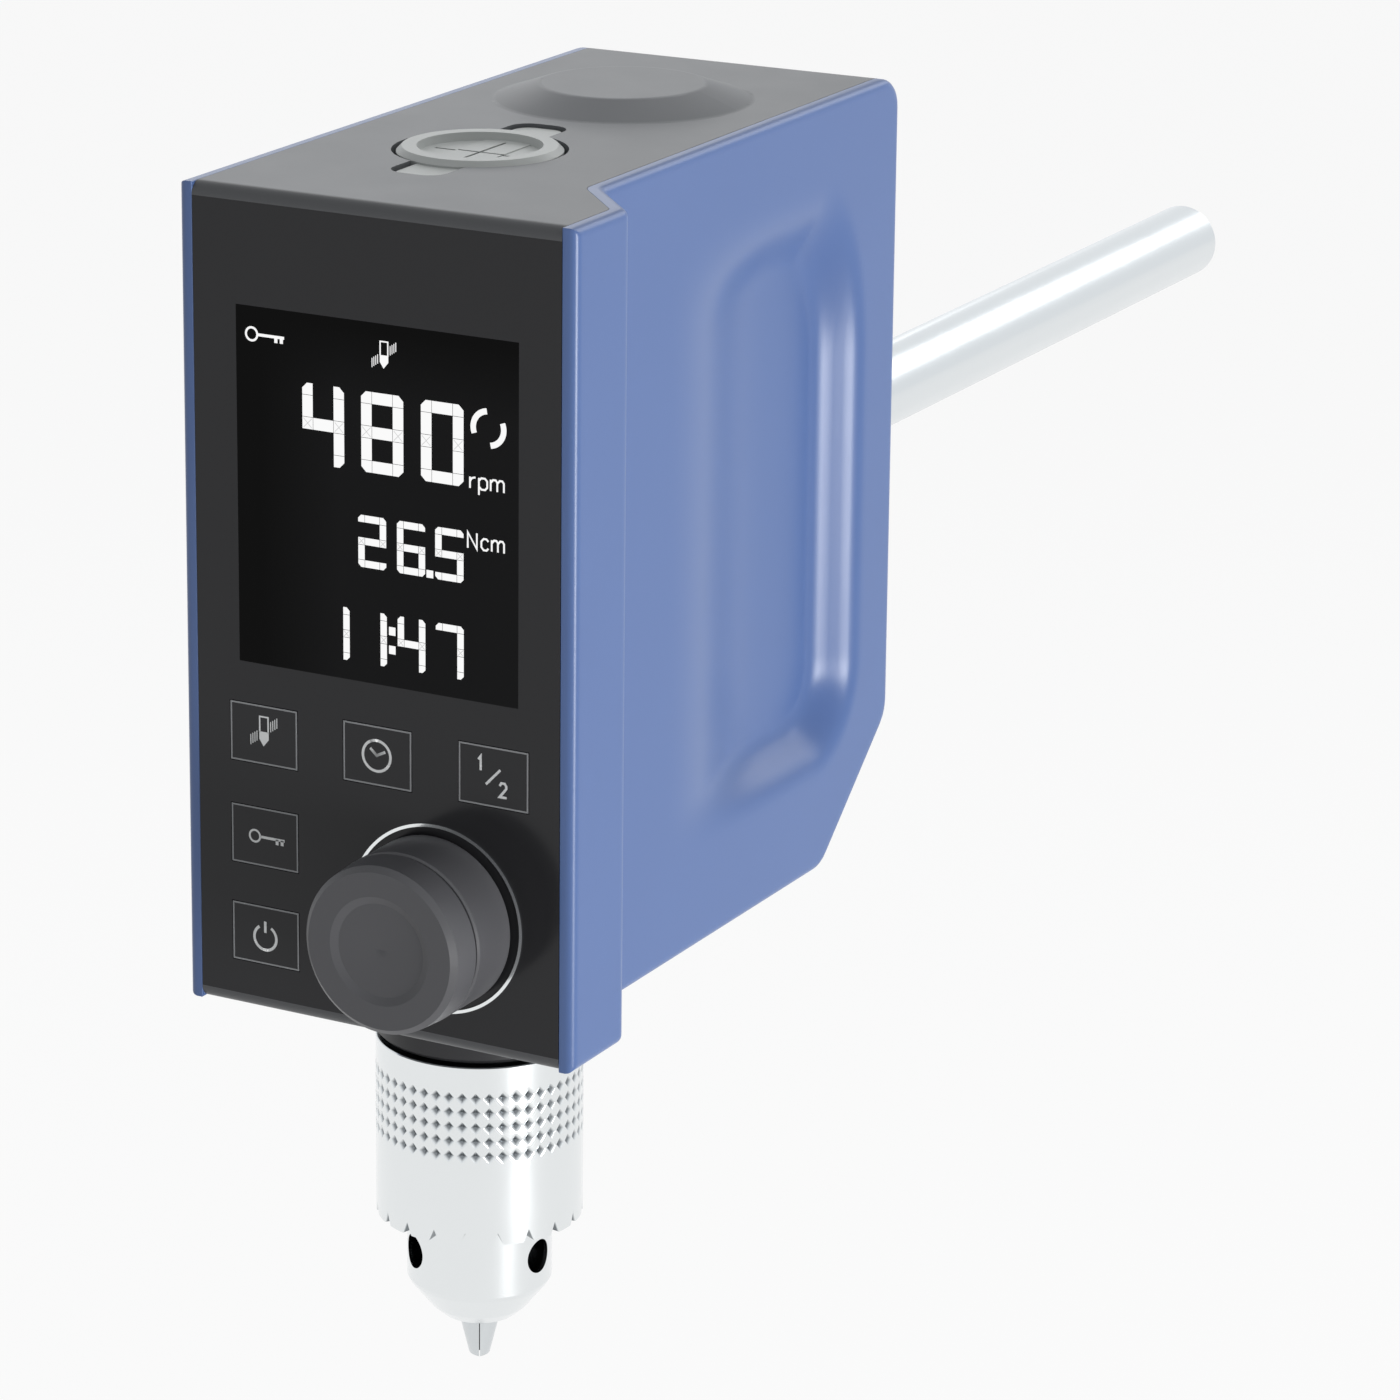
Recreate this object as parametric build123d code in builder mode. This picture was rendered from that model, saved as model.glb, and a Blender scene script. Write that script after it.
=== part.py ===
from build123d import *
import math
import os

os.makedirs("parts", exist_ok=True)

# Driving dimensions, mm. The origin is where the boom's axis meets the rear face,
# +Y runs along the boom, +Z is up, and the display side faces -Y.

# housing
DEPTH = 118.0
TOP = 64.1
BOTTOM = -56.3
LEFT_X = -26.0
RIGHT_X = 28.0
STEP_OUT = 9.45
STEP_Y = 14.4
STEP_RUN = 10.2
STEP_LAP = 1.2
KNEE_R = 2.0
HEEL_R = 3.5
SHELL_T = 2.3
WALL = 2.4
CUT_Z = 19.0
CUT_Y = 22.0
CUT_R = 6.0
BACK_R = 5.0
EDGE = 0.9
LIP_R = 1.7
FIT = 0.1
RUN = 0.04

# grip recess in each side shell
GRIP_Y0 = -71.0
GRIP_Y1 = -10.0
GRIP_Z0 = -41.0
GRIP_Z1 = 48.5
GRIP_DEPTH = 5.5
GRIP_R = 14.0
GRIP_BACK = 1.8

# rear cover with its sockets and vents
REAR_HALF_W = 19.0
REAR_LIFT = 4.3
REAR_DROP = 11.1
REAR_SCREW_IN = 3.5
REAR_SCREW_L = 7.0
REAR_SCREW_R = 1.25
REAR_HEAD_R = 2.5
SOCKET_UP = 10.5
INLET_X = -9.0
INLET_R = 4.0
PORT_X = 8.6
PORT_W = 9.0
PORT_H = 8.2
VENTS = 5
VENT_W = 22.0
VENT_H = 2.0
VENT_PITCH = 5.0

# front panel, display and keys
PANEL_T = 2.0
PANEL_RIM = 1.9
PANEL_SEAT = 2.4
FACE_X = 5.95
DISPLAY_W = 45.3
DISPLAY_H = 51.8
DISPLAY_Z = 21.6
WINDOW_T = 1.4
MODULE_T = 4.1
KEY_W = 11.1
KEY_H = 8.74
KEY_GAP = 0.12
KEY_TRAVEL = 0.4
KEY_PITCH_X = 18.74
KEY_ROWS = (-14.8, -30.1, -44.9)

# control board
BOARD_IN = 8.0
BOARD_T = 1.6
BOARD_EDGE = 4.0
BLOCK_HALF_W = 16.0
BLOCK_HALF_H = 10.0
BLOCK_T = 4.0
SPACER_R = 2.3
SPACER_IN = 5.0
SWITCH_W = 6.0
SWITCH_T = 3.4
BUTTON_R = 1.7
ENCODER_W = 12.0
BUSH_R = 3.5
STEM_R = 2.5

# knob
KNOB_X = 15.45
KNOB_Z = -37.2
KNOB_R = 12.5
KNOB_LEN = 15.6
KNOB_GROOVE = 9.6
KNOB_DISH_R = 7.9
KNOB_TRAVEL = 0.8
RING_R = 13.7

# spindle and chuck
SPIN_Y = -79.1
SHAFT_R = 6.0
SHAFT_BORE = 4.15
COLLAR_R = 15.5
COLLAR_H = 12.8
COLLAR_NECK_R = 12.0
BEARING_R = 11.0
BEARING_H = 7.0
SLEEVE_GAP = 0.6
SLEEVE_R = 15.5
SLEEVE_H = 28.0
SLEEVE_BORE = 13.65
NOSE_R = 10.9
NOSE_H = 11.3
NOSE_TIP_R = 3.5
CONE_H = 6.4
KEYHOLE_R = 2.6
KEYHOLE_DROP = 5.5
KEYHOLE_L = 8.0
KEYHOLE_IN = 3.2
BORE_TAPER = 4.0
TEETH = 20
TOOTH_H = 2.0
TOOTH_GAP = 1.7
NUT_R = 13.0
NUT_H = 4.4
NECK_R = 7.2
JAW_ANGLE = 15.0
JAW_R = 2.85
JAW_TIP_R = 1.4
JAW_OUT = 6.1
JAW_LEN = 30.0
JAW_TRAVEL = 15.45
JAW_CLEAR = 0.3
GRIP_BORE = 0.5
GRIP_LEN = 12.0
SLIT = 0.07

# top cap over the hollow shaft
CAP_R = 12.0
CAP_SLOT = 0.7
CAP_LOBE_W = 7.5
CAP_LOBE_L = 18.8
CAP_LOBE_R = 2.4
CAP_DISH_R = 8.75
CAP_RISE = 0.6
CAP_SLIT_L = 14.9
CAP_SLIT_W = 0.5
SEAT_T = 3.0

# motor, belt and hump
MOTOR_Y = -36.7
MOTOR_R = 17.0
MOTOR_LOW = -24.0
MOTOR_SHAFT_R = 2.5
MOTOR_SCREW_X = 11.0
BELL_T = 3.0
BELL_BOSS = 2.0
ROTOR_IN = 4.5
ROTOR_UP = 6.0
ROTOR_DOWN = 8.0
PULLEY_DROP = 19.1
PULLEY_H = 8.0
PULLEY_RIM = 1.3
SPINDLE_PULLEY_R = 12.0
MOTOR_PULLEY_R = 8.0
BELT_T = 1.2
HUMP_TOP_R = 12.5
HUMP_BASE_R = 19.3
HUMP_H = 2.4

# frame plates
PLATE_HALF_W = 17.8
PLATE_FRONT = -96.5
PLATE_T = 7.0
UPPER_DROP = 12.0
LOWER_RISE = 6.3
WEB_Y = -13.5
WEB_T = 5.0
TAB_Z = -21.5
TAB_X = 16.0
TAB_T = 3.0
TAB_H = 11.0
RIB_X = 14.0
RIB_T = 6.0

# boom
BOOM_R = 6.5
BOOM_OUT = 179.5
BOOM_IN = 18.0
BOOM_SPIGOT_R = 6.0
BOSS_R = 10.5
BOOM_LOCK_Y = -8.5

# levels and places that follow from the sizes above
FRONT = -DEPTH
PANEL_BACK = FRONT + PANEL_T
LEFT_IN = LEFT_X + SHELL_T
RIGHT_IN = RIGHT_X - SHELL_T
STEP_X = RIGHT_X + STEP_OUT
PANEL_RIGHT = STEP_X - SHELL_T
PANEL_TOP = TOP - PANEL_RIM
PANEL_LOW = BOTTOM + PANEL_RIM
REAR_LOW = BOTTOM + CUT_Z + REAR_LIFT
REAR_HIGH = TOP - REAR_DROP
SOCKET_Z = REAR_LOW + SOCKET_UP
COLLAR_LOW = BOTTOM - COLLAR_H
SLEEVE_TOP = COLLAR_LOW - SLEEVE_GAP
SLEEVE_LOW = SLEEVE_TOP - SLEEVE_H
NOSE_LOW = SLEEVE_LOW - NOSE_H
CONE_LOW = NOSE_LOW - CONE_H
JAW_LOW = CONE_LOW - JAW_OUT
JAW_TOP = JAW_LOW + JAW_LEN
PULLEY_Z = TOP - PULLEY_DROP
UPPER_Z = PULLEY_Z - UPPER_DROP
LOWER_Z = BOTTOM + LOWER_RISE
CAP_SEAT = TOP - WALL
BOARD_Y = FRONT + BOARD_IN
KNOB_LIFT = KNOB_TRAVEL + 0.2
TAN_JAW = math.tan(math.radians(JAW_ANGLE))
COS_JAW = math.cos(math.radians(JAW_ANGLE))


def side_prism(x0, x1, inset):
    """Solid with the housing's side outline, moved inward by inset, from x0 to x1."""
    slope = math.hypot(CUT_Y, CUT_Z)
    cut_y = -CUT_Z / slope * inset
    cut_z = BOTTOM + CUT_Z + CUT_Y / slope * inset
    corner_z = cut_z + (-inset - cut_y) * CUT_Z / CUT_Y
    corner_y = cut_y - (cut_z - BOTTOM - inset) * CUT_Y / CUT_Z
    front = FRONT + inset
    outline = [(front, BOTTOM + inset), (front, TOP - inset), (-inset, TOP - inset),
               (-inset, corner_z), (corner_y, BOTTOM + inset)]
    rounds = [(outline[2], BACK_R - inset), (outline[3], CUT_R - inset), (outline[4], CUT_R - inset)]
    with BuildPart() as prism:
        with BuildSketch(Plane.YZ.offset(x0)) as side:
            Polygon(*outline, align=None)
            for spot, radius in rounds:
                fillet(side.vertices().sort_by_distance((spot[0], spot[1], 0))[0], radius)
        extrude(amount=x1 - x0)
    return prism.part


def plan_prism(points, z0, z1, rounds=()):
    """Solid over a polygon in plan, with some of its corners rounded."""
    with BuildPart() as prism:
        with BuildSketch(Plane.XY.offset(z0)) as plan:
            Polygon(*points, align=None)
            for index, radius in rounds:
                spot = points[index]
                fillet(plan.vertices().sort_by_distance((spot[0], spot[1], 0))[0], radius)
        extrude(amount=z1 - z0)
    return prism.part


def tube(x, y, z0, z1, r, bore=0.0):
    """Upright cylinder with an optional bore."""
    with BuildPart() as pipe:
        with BuildSketch(Plane.XY.offset(z0)):
            with Locations((x, y)):
                Circle(r)
                if bore > 0:
                    Circle(bore, mode=Mode.SUBTRACT)
        extrude(amount=z1 - z0)
    return pipe.part


def rod(x, z, y0, y1, r, bore=0.0):
    """Cylinder along Y with an optional bore."""
    with BuildPart() as pipe:
        with BuildSketch(Plane.XZ.offset(-y0)):
            with Locations((x, z)):
                Circle(r)
                if bore > 0:
                    Circle(bore, mode=Mode.SUBTRACT)
        extrude(amount=y0 - y1)
    return pipe.part


def box(x0, x1, y0, y1, z0, z1):
    """Box between two corners."""
    with BuildPart() as block:
        with Locations(((x0 + x1) / 2, (y0 + y1) / 2, (z0 + z1) / 2)):
            Box(x1 - x0, y1 - y0, z1 - z0)
    return block.part


def lathe(points, y):
    """Solid of revolution about the upright axis at y, from (radius, z) points."""
    with BuildPart() as turned:
        with BuildSketch(Plane.XZ):
            Polygon(*points, align=None)
        revolve(axis=Axis.Z)
    return turned.part.moved(Location((0, y, 0)))


def save(part, name):
    """Label a piece and write its STEP file."""
    part.label = name
    export_step(part, "parts/" + name + ".step")


# ---- grip recess: a soft ramp from the front, a steep rear wall ----
# each ring: share of the depth, then shares of the length off the front, the rear and each end
GRIP_RINGS = ((-0.16, 0.0, 0.0, 0.0), (0.1, 0.1, 0.03, 0.02), (0.45, 0.32, 0.07, 0.045),
              (0.85, 0.52, 0.11, 0.07), (1.0, 0.63, 0.145, 0.095))


def grip_bowl(skin, side, grow):
    """Recess volume behind the outer face at x = skin, enlarged by grow."""
    length = GRIP_Y1 - GRIP_Y0
    height = GRIP_Z1 - GRIP_Z0
    with BuildPart() as bowl:
        for depth, off_front, off_rear, off_end in GRIP_RINGS:
            y0 = GRIP_Y0 + length * off_front - grow
            y1 = GRIP_Y1 - length * off_rear + grow
            inward = GRIP_DEPTH * depth + (grow if depth > 0 else 0)
            with BuildSketch(Plane.YZ.offset(skin - side * inward)):
                with Locations(((y0 + y1) / 2, (GRIP_Z0 + GRIP_Z1) / 2)):
                    high = height * (1 - 2 * off_end) + 2 * grow
                    RectangleRounded(y1 - y0, high, min(GRIP_R, (y1 - y0) * 0.45))
        loft()
    return bowl.part


# ---- side shells ----
left_back = grip_bowl(LEFT_X, -1, GRIP_BACK) & box(LEFT_X + EDGE, 0, FRONT, 0, BOTTOM, TOP)
with BuildPart() as left_shell:
    add(side_prism(LEFT_X, LEFT_IN, 0.0))
    chamfer(left_shell.faces().sort_by(Axis.X)[0].edges(), EDGE)
    add(left_back)
    add(grip_bowl(LEFT_X, -1, 0.0), mode=Mode.SUBTRACT)
save(left_shell.part, "side_shell_left")

# the right shell steps out round the wider front panel
outer_plan = [(0, FRONT), (STEP_X, FRONT), (STEP_X, FRONT + STEP_Y),
              (RIGHT_X, FRONT + STEP_Y + STEP_RUN), (RIGHT_X, 0), (0, 0)]
inner_plan = [(LEFT_IN, FRONT - 1), (PANEL_RIGHT, FRONT - 1), (PANEL_RIGHT, FRONT + STEP_Y - STEP_LAP),
              (RIGHT_IN, FRONT + STEP_Y + STEP_RUN - STEP_LAP), (RIGHT_IN, 1), (LEFT_IN, 1)]
inner_space = plan_prism(inner_plan, BOTTOM - 1, TOP + 1, ((2, KNEE_R), (3, HEEL_R)))
outer_space = plan_prism(outer_plan, BOTTOM - 1, TOP + 1, ((2, KNEE_R), (3, HEEL_R)))
right_back = grip_bowl(RIGHT_X, 1, GRIP_BACK) & box(0, RIGHT_X - EDGE, FRONT, 0, BOTTOM, TOP)
with BuildPart() as right_shell:
    add(side_prism(0, STEP_X, 0.0))
    add(outer_space, mode=Mode.INTERSECT)
    rim = right_shell.edges().filter_by(lambda e: e.center().X > RIGHT_IN)
    bends = rim.filter_by(Axis.Z).filter_by(lambda e: FRONT + 1 < e.center().Y < -1)
    chamfer([e for e in rim if e not in bends], EDGE)
    add(inner_space, mode=Mode.SUBTRACT)
    add(right_back)
    add(grip_bowl(RIGHT_X, 1, 0.0), mode=Mode.SUBTRACT)
    add(box(-STEP_X, LEFT_IN + 1, FRONT - 1, 1, BOTTOM - 1, TOP + 1), mode=Mode.SUBTRACT)
save(right_shell.part, "side_shell_right")

# ---- centre shell: one wrap over front, top, rear and bottom ----
hollow = side_prism(LEFT_IN - 1, PANEL_RIGHT + 1, WALL)
hollow -= box(LEFT_IN - 2, PANEL_RIGHT + 2, FRONT, PANEL_BACK + WALL, BOTTOM, TOP)
hump_points = [(0, TOP - WALL / 2), (HUMP_BASE_R, TOP - WALL / 2), (HUMP_BASE_R, TOP),
               (HUMP_TOP_R, TOP + HUMP_H), (0, TOP + HUMP_H)]
under_points = [(0, TOP - WALL), (HUMP_BASE_R - WALL, TOP - WALL),
                (HUMP_TOP_R - WALL, TOP + HUMP_H - WALL), (0, TOP + HUMP_H - WALL)]
with BuildPart() as lobe_way:
    with BuildSketch(Plane.XY.offset(CAP_SEAT - 1)):
        with Locations((0, SPIN_Y)):
            Circle(CAP_R + CAP_SLOT)
            RectangleRounded(CAP_LOBE_W + 2 * CAP_SLOT, 2 * (CAP_LOBE_L + CAP_SLOT), CAP_LOBE_R + CAP_SLOT)
    extrude(amount=WALL + 2)
with BuildPart() as centre:
    add(side_prism(LEFT_IN, PANEL_RIGHT, 0.0))
    for level in (TOP, BOTTOM):
        lip = centre.edges().filter_by(Axis.X).sort_by_distance((0, FRONT, level))[0]
        fillet(lip, LIP_R)
    add(inner_space, mode=Mode.INTERSECT)
    add(lathe(hump_points, MOTOR_Y))
    round_edges = centre.edges().filter_by(GeomType.CIRCLE)
    rings = round_edges.filter_by_position(Axis.Z, TOP - 0.1, TOP + HUMP_H + 0.1)
    base_ring = rings.filter_by(lambda e: abs(e.radius - HUMP_BASE_R) < 0.01)
    top_ring = rings.filter_by(lambda e: abs(e.radius - HUMP_TOP_R) < 0.01)
    fillet(base_ring.sort_by(Axis.Z)[-1], HUMP_H)
    fillet(top_ring, HUMP_H)
    add(hollow, mode=Mode.SUBTRACT)
    add(lathe(under_points, MOTOR_Y), mode=Mode.SUBTRACT)
    # panel seat and the opening behind the panel
    add(box(LEFT_IN - 1, PANEL_RIGHT + 1, FRONT - 1, PANEL_BACK, PANEL_LOW, PANEL_TOP), mode=Mode.SUBTRACT)
    add(box(LEFT_IN + PANEL_SEAT, PANEL_RIGHT - PANEL_SEAT, FRONT, PANEL_BACK + WALL + 1,
            PANEL_LOW + PANEL_SEAT, PANEL_TOP - PANEL_SEAT), mode=Mode.SUBTRACT)
    # cap opening, spindle outlet and rear opening
    add(lobe_way.part, mode=Mode.SUBTRACT)
    add(tube(0, SPIN_Y, BOTTOM - 1, BOTTOM + WALL + 1, COLLAR_NECK_R + FIT), mode=Mode.SUBTRACT)
    add(box(-REAR_HALF_W, REAR_HALF_W, -WALL - 1, 1, REAR_LOW, REAR_HIGH), mode=Mode.SUBTRACT)
save(centre.part, "centre_shell")

# ---- rear cover, let into the rear opening ----
rear_screw_spots = [(side * (REAR_HALF_W - REAR_SCREW_IN), z) for side in (-1, 1)
                    for z in (REAR_LOW + REAR_SCREW_IN, REAR_HIGH - REAR_SCREW_IN)]
vent_low = BOSS_R + 1.5 * VENT_PITCH
with BuildPart() as rear:
    add(box(FIT - REAR_HALF_W, REAR_HALF_W - FIT, -WALL, -FIT, REAR_LOW + FIT, REAR_HIGH - FIT))
    add(rod(0, 0, -WALL - 1, 1, BOSS_R + FIT), mode=Mode.SUBTRACT)
    for x, z in rear_screw_spots:
        add(rod(x, z, -WALL - 1, 1, REAR_SCREW_R + FIT / 2), mode=Mode.SUBTRACT)
    add(rod(INLET_X, SOCKET_Z, -WALL - 1, 1, INLET_R + FIT), mode=Mode.SUBTRACT)
    add(box(PORT_X - PORT_W / 2 - FIT, PORT_X + PORT_W / 2 + FIT, -WALL - 1, 1,
            SOCKET_Z - PORT_H / 2 - FIT, SOCKET_Z + PORT_H / 2 + FIT), mode=Mode.SUBTRACT)
    for k in range(VENTS):
        z = vent_low + VENT_PITCH * k
        add(box(-VENT_W / 2, VENT_W / 2, -WALL - 1, 1, z, z + VENT_H), mode=Mode.SUBTRACT)
save(rear.part, "rear_cover")

with BuildPart() as rear_screws:
    for x, z in rear_screw_spots:
        add(rod(x, z, -REAR_SCREW_L, -FIT, REAR_SCREW_R))
        add(rod(x, z, -FIT, REAR_SCREW_R, REAR_HEAD_R))
    with BuildSketch(Plane.XZ.offset(-REAR_SCREW_R)):
        with Locations(*rear_screw_spots):
            RegularPolygon(REAR_SCREW_R, 6)
    extrude(amount=0.7 * REAR_SCREW_R, mode=Mode.SUBTRACT)
save(rear_screws.part, "rear_screws")

with BuildPart() as inlet:
    add(rod(INLET_X, SOCKET_Z, -12.0, 0.6, INLET_R, INLET_R - 1.1))
    add(rod(INLET_X, SOCKET_Z, -12.0, -10.5, INLET_R))
    add(rod(INLET_X, SOCKET_Z, -10.6, -2.0, 0.8))
    add(rod(INLET_X, SOCKET_Z, -4.0, -WALL - FIT, INLET_R + 1.4, INLET_R))
save(inlet.part, "power_inlet")

with BuildPart() as port:
    add(box(PORT_X - PORT_W / 2, PORT_X + PORT_W / 2, -13.0, 0.4,
            SOCKET_Z - PORT_H / 2, SOCKET_Z + PORT_H / 2))
    add(box(PORT_X - PORT_W / 2 + 0.7, PORT_X + PORT_W / 2 - 0.7, -11.5, 1.0,
            SOCKET_Z - PORT_H / 2 + 0.7, SOCKET_Z + PORT_H / 2 - 0.7), mode=Mode.SUBTRACT)
    add(box(PORT_X - PORT_W / 4, PORT_X + PORT_W / 4, -12.0, -2.0, SOCKET_Z - 1.3, SOCKET_Z + 0.9))
save(port.part, "data_port")

# ---- front panel with window and key openings ----
window_x = (FACE_X - DISPLAY_W / 2, FACE_X + DISPLAY_W / 2)
window_z = (DISPLAY_Z - DISPLAY_H / 2, DISPLAY_Z + DISPLAY_H / 2)
key_spots = {
    "key_stir": (FACE_X - KEY_PITCH_X, KEY_ROWS[0]),
    "key_timer": (FACE_X, KEY_ROWS[0]),
    "key_display": (FACE_X + KEY_PITCH_X, KEY_ROWS[0]),
    "key_lock": (FACE_X - KEY_PITCH_X, KEY_ROWS[1]),
    "key_power": (FACE_X - KEY_PITCH_X, KEY_ROWS[2]),
}
with BuildPart() as panel:
    add(box(LEFT_IN, PANEL_RIGHT, FRONT, PANEL_BACK, PANEL_LOW, PANEL_TOP))
    add(box(*window_x, FRONT - 1, PANEL_BACK + 1, *window_z), mode=Mode.SUBTRACT)
    with BuildSketch(Plane.XZ.offset(-FRONT)):
        with Locations(*key_spots.values()):
            Rectangle(KEY_W + 2 * KEY_GAP, KEY_H + 2 * KEY_GAP)
        with Locations((KNOB_X, KNOB_Z)):
            Circle(BUSH_R + FIT)
    extrude(amount=-PANEL_T, mode=Mode.SUBTRACT)
save(panel.part, "front_panel")

with BuildPart() as window:
    add(box(*window_x, FRONT, FRONT + WINDOW_T, *window_z))
save(window.part, "display_window")

with BuildPart() as module:
    add(box(window_x[0] + FIT, window_x[1] - FIT, FRONT + WINDOW_T, FRONT + WINDOW_T + MODULE_T,
            window_z[0] + FIT, window_z[1] - FIT))
save(module.part, "display_module")

for name, spot in key_spots.items():
    with BuildPart() as key:
        add(box(spot[0] - KEY_W / 2, spot[0] + KEY_W / 2, FRONT, PANEL_BACK,
                spot[1] - KEY_H / 2, spot[1] + KEY_H / 2))
    save(key.part, name)

# ---- control board with its screws, switches and encoder ----
spacer_spots = [(x, z) for x in (LEFT_IN + SPACER_IN, PANEL_RIGHT - SPACER_IN)
                for z in ((KEY_ROWS[0] + KEY_ROWS[1]) / 2, PANEL_TOP - SPACER_IN - SPACER_R)]
with BuildPart() as board:
    add(box(LEFT_IN + PANEL_SEAT + FIT, PANEL_RIGHT - PANEL_SEAT - FIT, BOARD_Y, BOARD_Y + BOARD_T,
            PANEL_LOW + BOARD_EDGE, PANEL_TOP - BOARD_EDGE))
    for x, z in spacer_spots:
        add(rod(x, z, BOARD_Y - 1, BOARD_Y + BOARD_T + 1, SPACER_R / 2 + FIT), mode=Mode.SUBTRACT)
    add(box(FACE_X - BLOCK_HALF_W, FACE_X + BLOCK_HALF_W, BOARD_Y + BOARD_T, BOARD_Y + BOARD_T + BLOCK_T,
            DISPLAY_Z - BLOCK_HALF_H, DISPLAY_Z + BLOCK_HALF_H))
save(board.part, "control_board")

with BuildPart() as board_screws:
    for x, z in spacer_spots:
        add(rod(x, z, PANEL_BACK, BOARD_Y, SPACER_R))
        add(rod(x, z, BOARD_Y, BOARD_Y + BOARD_T, SPACER_R / 2))
        add(rod(x, z, BOARD_Y + BOARD_T, BOARD_Y + 2 * BOARD_T, SPACER_R))
save(board_screws.part, "board_screws")

with BuildPart() as switches:
    for x, z in key_spots.values():
        half = SWITCH_W / 2
        add(box(x - half, x + half, BOARD_Y - SWITCH_T, BOARD_Y, z - half, z + half))
        add(rod(x, z, PANEL_BACK + KEY_TRAVEL + RUN, BOARD_Y - SWITCH_T, BUTTON_R))
save(switches.part, "key_switches")

with BuildPart() as encoder:
    half = ENCODER_W / 2
    add(box(KNOB_X - half, KNOB_X + half, PANEL_BACK + 1.5, BOARD_Y, KNOB_Z - half, KNOB_Z + half))
    add(rod(KNOB_X, KNOB_Z, FRONT - 2.0, PANEL_BACK + 1.5, BUSH_R))
    add(rod(KNOB_X, KNOB_Z, FRONT - 3, BOARD_Y - 1.0, STEM_R + 0.05), mode=Mode.SUBTRACT)
save(encoder.part, "encoder")

# ---- knob: a plunger in the encoder carries the turning knob ----
with BuildPart() as plunger:
    add(rod(KNOB_X, KNOB_Z, FRONT + 4.0, BOARD_Y - 2.8, STEM_R))
    add(rod(KNOB_X, KNOB_Z, BOARD_Y - 2.8, BOARD_Y - 2.0, STEM_R / 2))
save(plunger.part, "encoder_plunger")

with BuildPart() as stem:
    add(rod(KNOB_X, KNOB_Z, FRONT - KNOB_GROOVE - 2.4, FRONT + 3.95, STEM_R))
save(stem.part, "encoder_stem")

knob_place = Plane(origin=(KNOB_X, FRONT, KNOB_Z), x_dir=(1, 0, 0), z_dir=(0, 0, -1)).location
core_r = KNOB_R - 1.0
with BuildPart() as knob_skirt:
    with BuildSketch(Plane.XY):
        Polygon((BUSH_R + 1.1, KNOB_LIFT), (KNOB_R, KNOB_LIFT), (KNOB_R, KNOB_GROOVE - 0.3),
                (KNOB_R - 0.3, KNOB_GROOVE), (core_r, KNOB_GROOVE), (core_r, KNOB_GROOVE + 1.4),
                (STEM_R, KNOB_GROOVE + 1.4), (STEM_R, KNOB_LIFT + 2.2),
                (BUSH_R + 1.1, KNOB_LIFT + 2.2), align=None)
    revolve(axis=Axis.Y)
save(knob_skirt.part.moved(knob_place), "knob_skirt")

with BuildPart() as knob_cap:
    with BuildSketch(Plane.XY):
        Polygon((0, KNOB_GROOVE + 2.4), (core_r - 0.5, KNOB_GROOVE + 2.4), (core_r - 0.5, KNOB_GROOVE + 1.4),
                (core_r, KNOB_GROOVE + 1.4), (core_r, KNOB_GROOVE + 0.5), (KNOB_R - 0.3, KNOB_GROOVE + 0.5),
                (KNOB_R, KNOB_GROOVE + 0.8), (KNOB_R - 0.3, KNOB_LEN - 0.8), (KNOB_R - 1.1, KNOB_LEN),
                (KNOB_DISH_R, KNOB_LEN), (KNOB_DISH_R - 1.1, KNOB_LEN - 0.5), (0, KNOB_LEN - 0.8),
                align=None)
    revolve(axis=Axis.Y)
save(knob_cap.part.moved(knob_place), "knob_cap")

with BuildPart() as ring:
    add(rod(KNOB_X, KNOB_Z, FRONT - 0.15, FRONT, RING_R + 0.2, RING_R - 0.25))
save(ring.part, "knob_ring")

# ---- inner frame: two plates on a rear web with the boom boss ----
WEB_FRONT = WEB_Y - WEB_T
PLATE_TOP = UPPER_Z + PLATE_T
LOWER_TOP = LOWER_Z + PLATE_T
with BuildPart() as frame:
    add(box(-PLATE_HALF_W, PLATE_HALF_W, PLATE_FRONT, WEB_Y, UPPER_Z, PLATE_TOP))
    add(box(-PLATE_HALF_W, PLATE_HALF_W, PLATE_FRONT, WEB_FRONT - 8, LOWER_Z, LOWER_TOP))
    add(box(-PLATE_HALF_W, PLATE_HALF_W, WEB_FRONT - 8, WEB_FRONT,
            LOWER_Z + CUT_Z / 2, LOWER_TOP + CUT_Z / 2))
    add(box(-PLATE_HALF_W, PLATE_HALF_W, WEB_FRONT - 8, WEB_FRONT - 3, LOWER_Z, LOWER_TOP + CUT_Z / 2))
    add(box(-PLATE_HALF_W, PLATE_HALF_W, WEB_FRONT, WEB_Y, LOWER_Z + CUT_Z / 2, PLATE_TOP))
    add(rod(0, 0, WEB_FRONT, 0, BOSS_R))
    add(rod(0, 0, WEB_FRONT - 1, 1, BOOM_SPIGOT_R + RUN), mode=Mode.SUBTRACT)
    add(tube(0, SPIN_Y, UPPER_Z - 1, PLATE_TOP + 1, BEARING_R), mode=Mode.SUBTRACT)
    add(tube(0, SPIN_Y, LOWER_Z - 1, LOWER_TOP + 1, SHAFT_R + 1.0), mode=Mode.SUBTRACT)
    add(tube(0, MOTOR_Y, UPPER_Z - 1, PLATE_TOP + 1, SHAFT_R + FIT), mode=Mode.SUBTRACT)
    for side in (-1, 1):
        add(tube(side * MOTOR_SCREW_X, MOTOR_Y, UPPER_Z - 1, PLATE_TOP + 1, 1.5), mode=Mode.SUBTRACT)
        add(box(side * RIB_X - RIB_T / 2, side * RIB_X + RIB_T / 2, WEB_Y, -WALL,
                UPPER_Z + 1, PLATE_TOP - 1))
        add(box(side * TAB_X - TAB_T / 2, side * TAB_X + TAB_T / 2, WEB_Y, -WALL,
                TAB_Z - TAB_H / 2, TAB_Z + TAB_H / 2))
    add(tube(0, BOOM_LOCK_Y, -BOSS_R - 1, 0, 2.0), mode=Mode.SUBTRACT)
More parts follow.
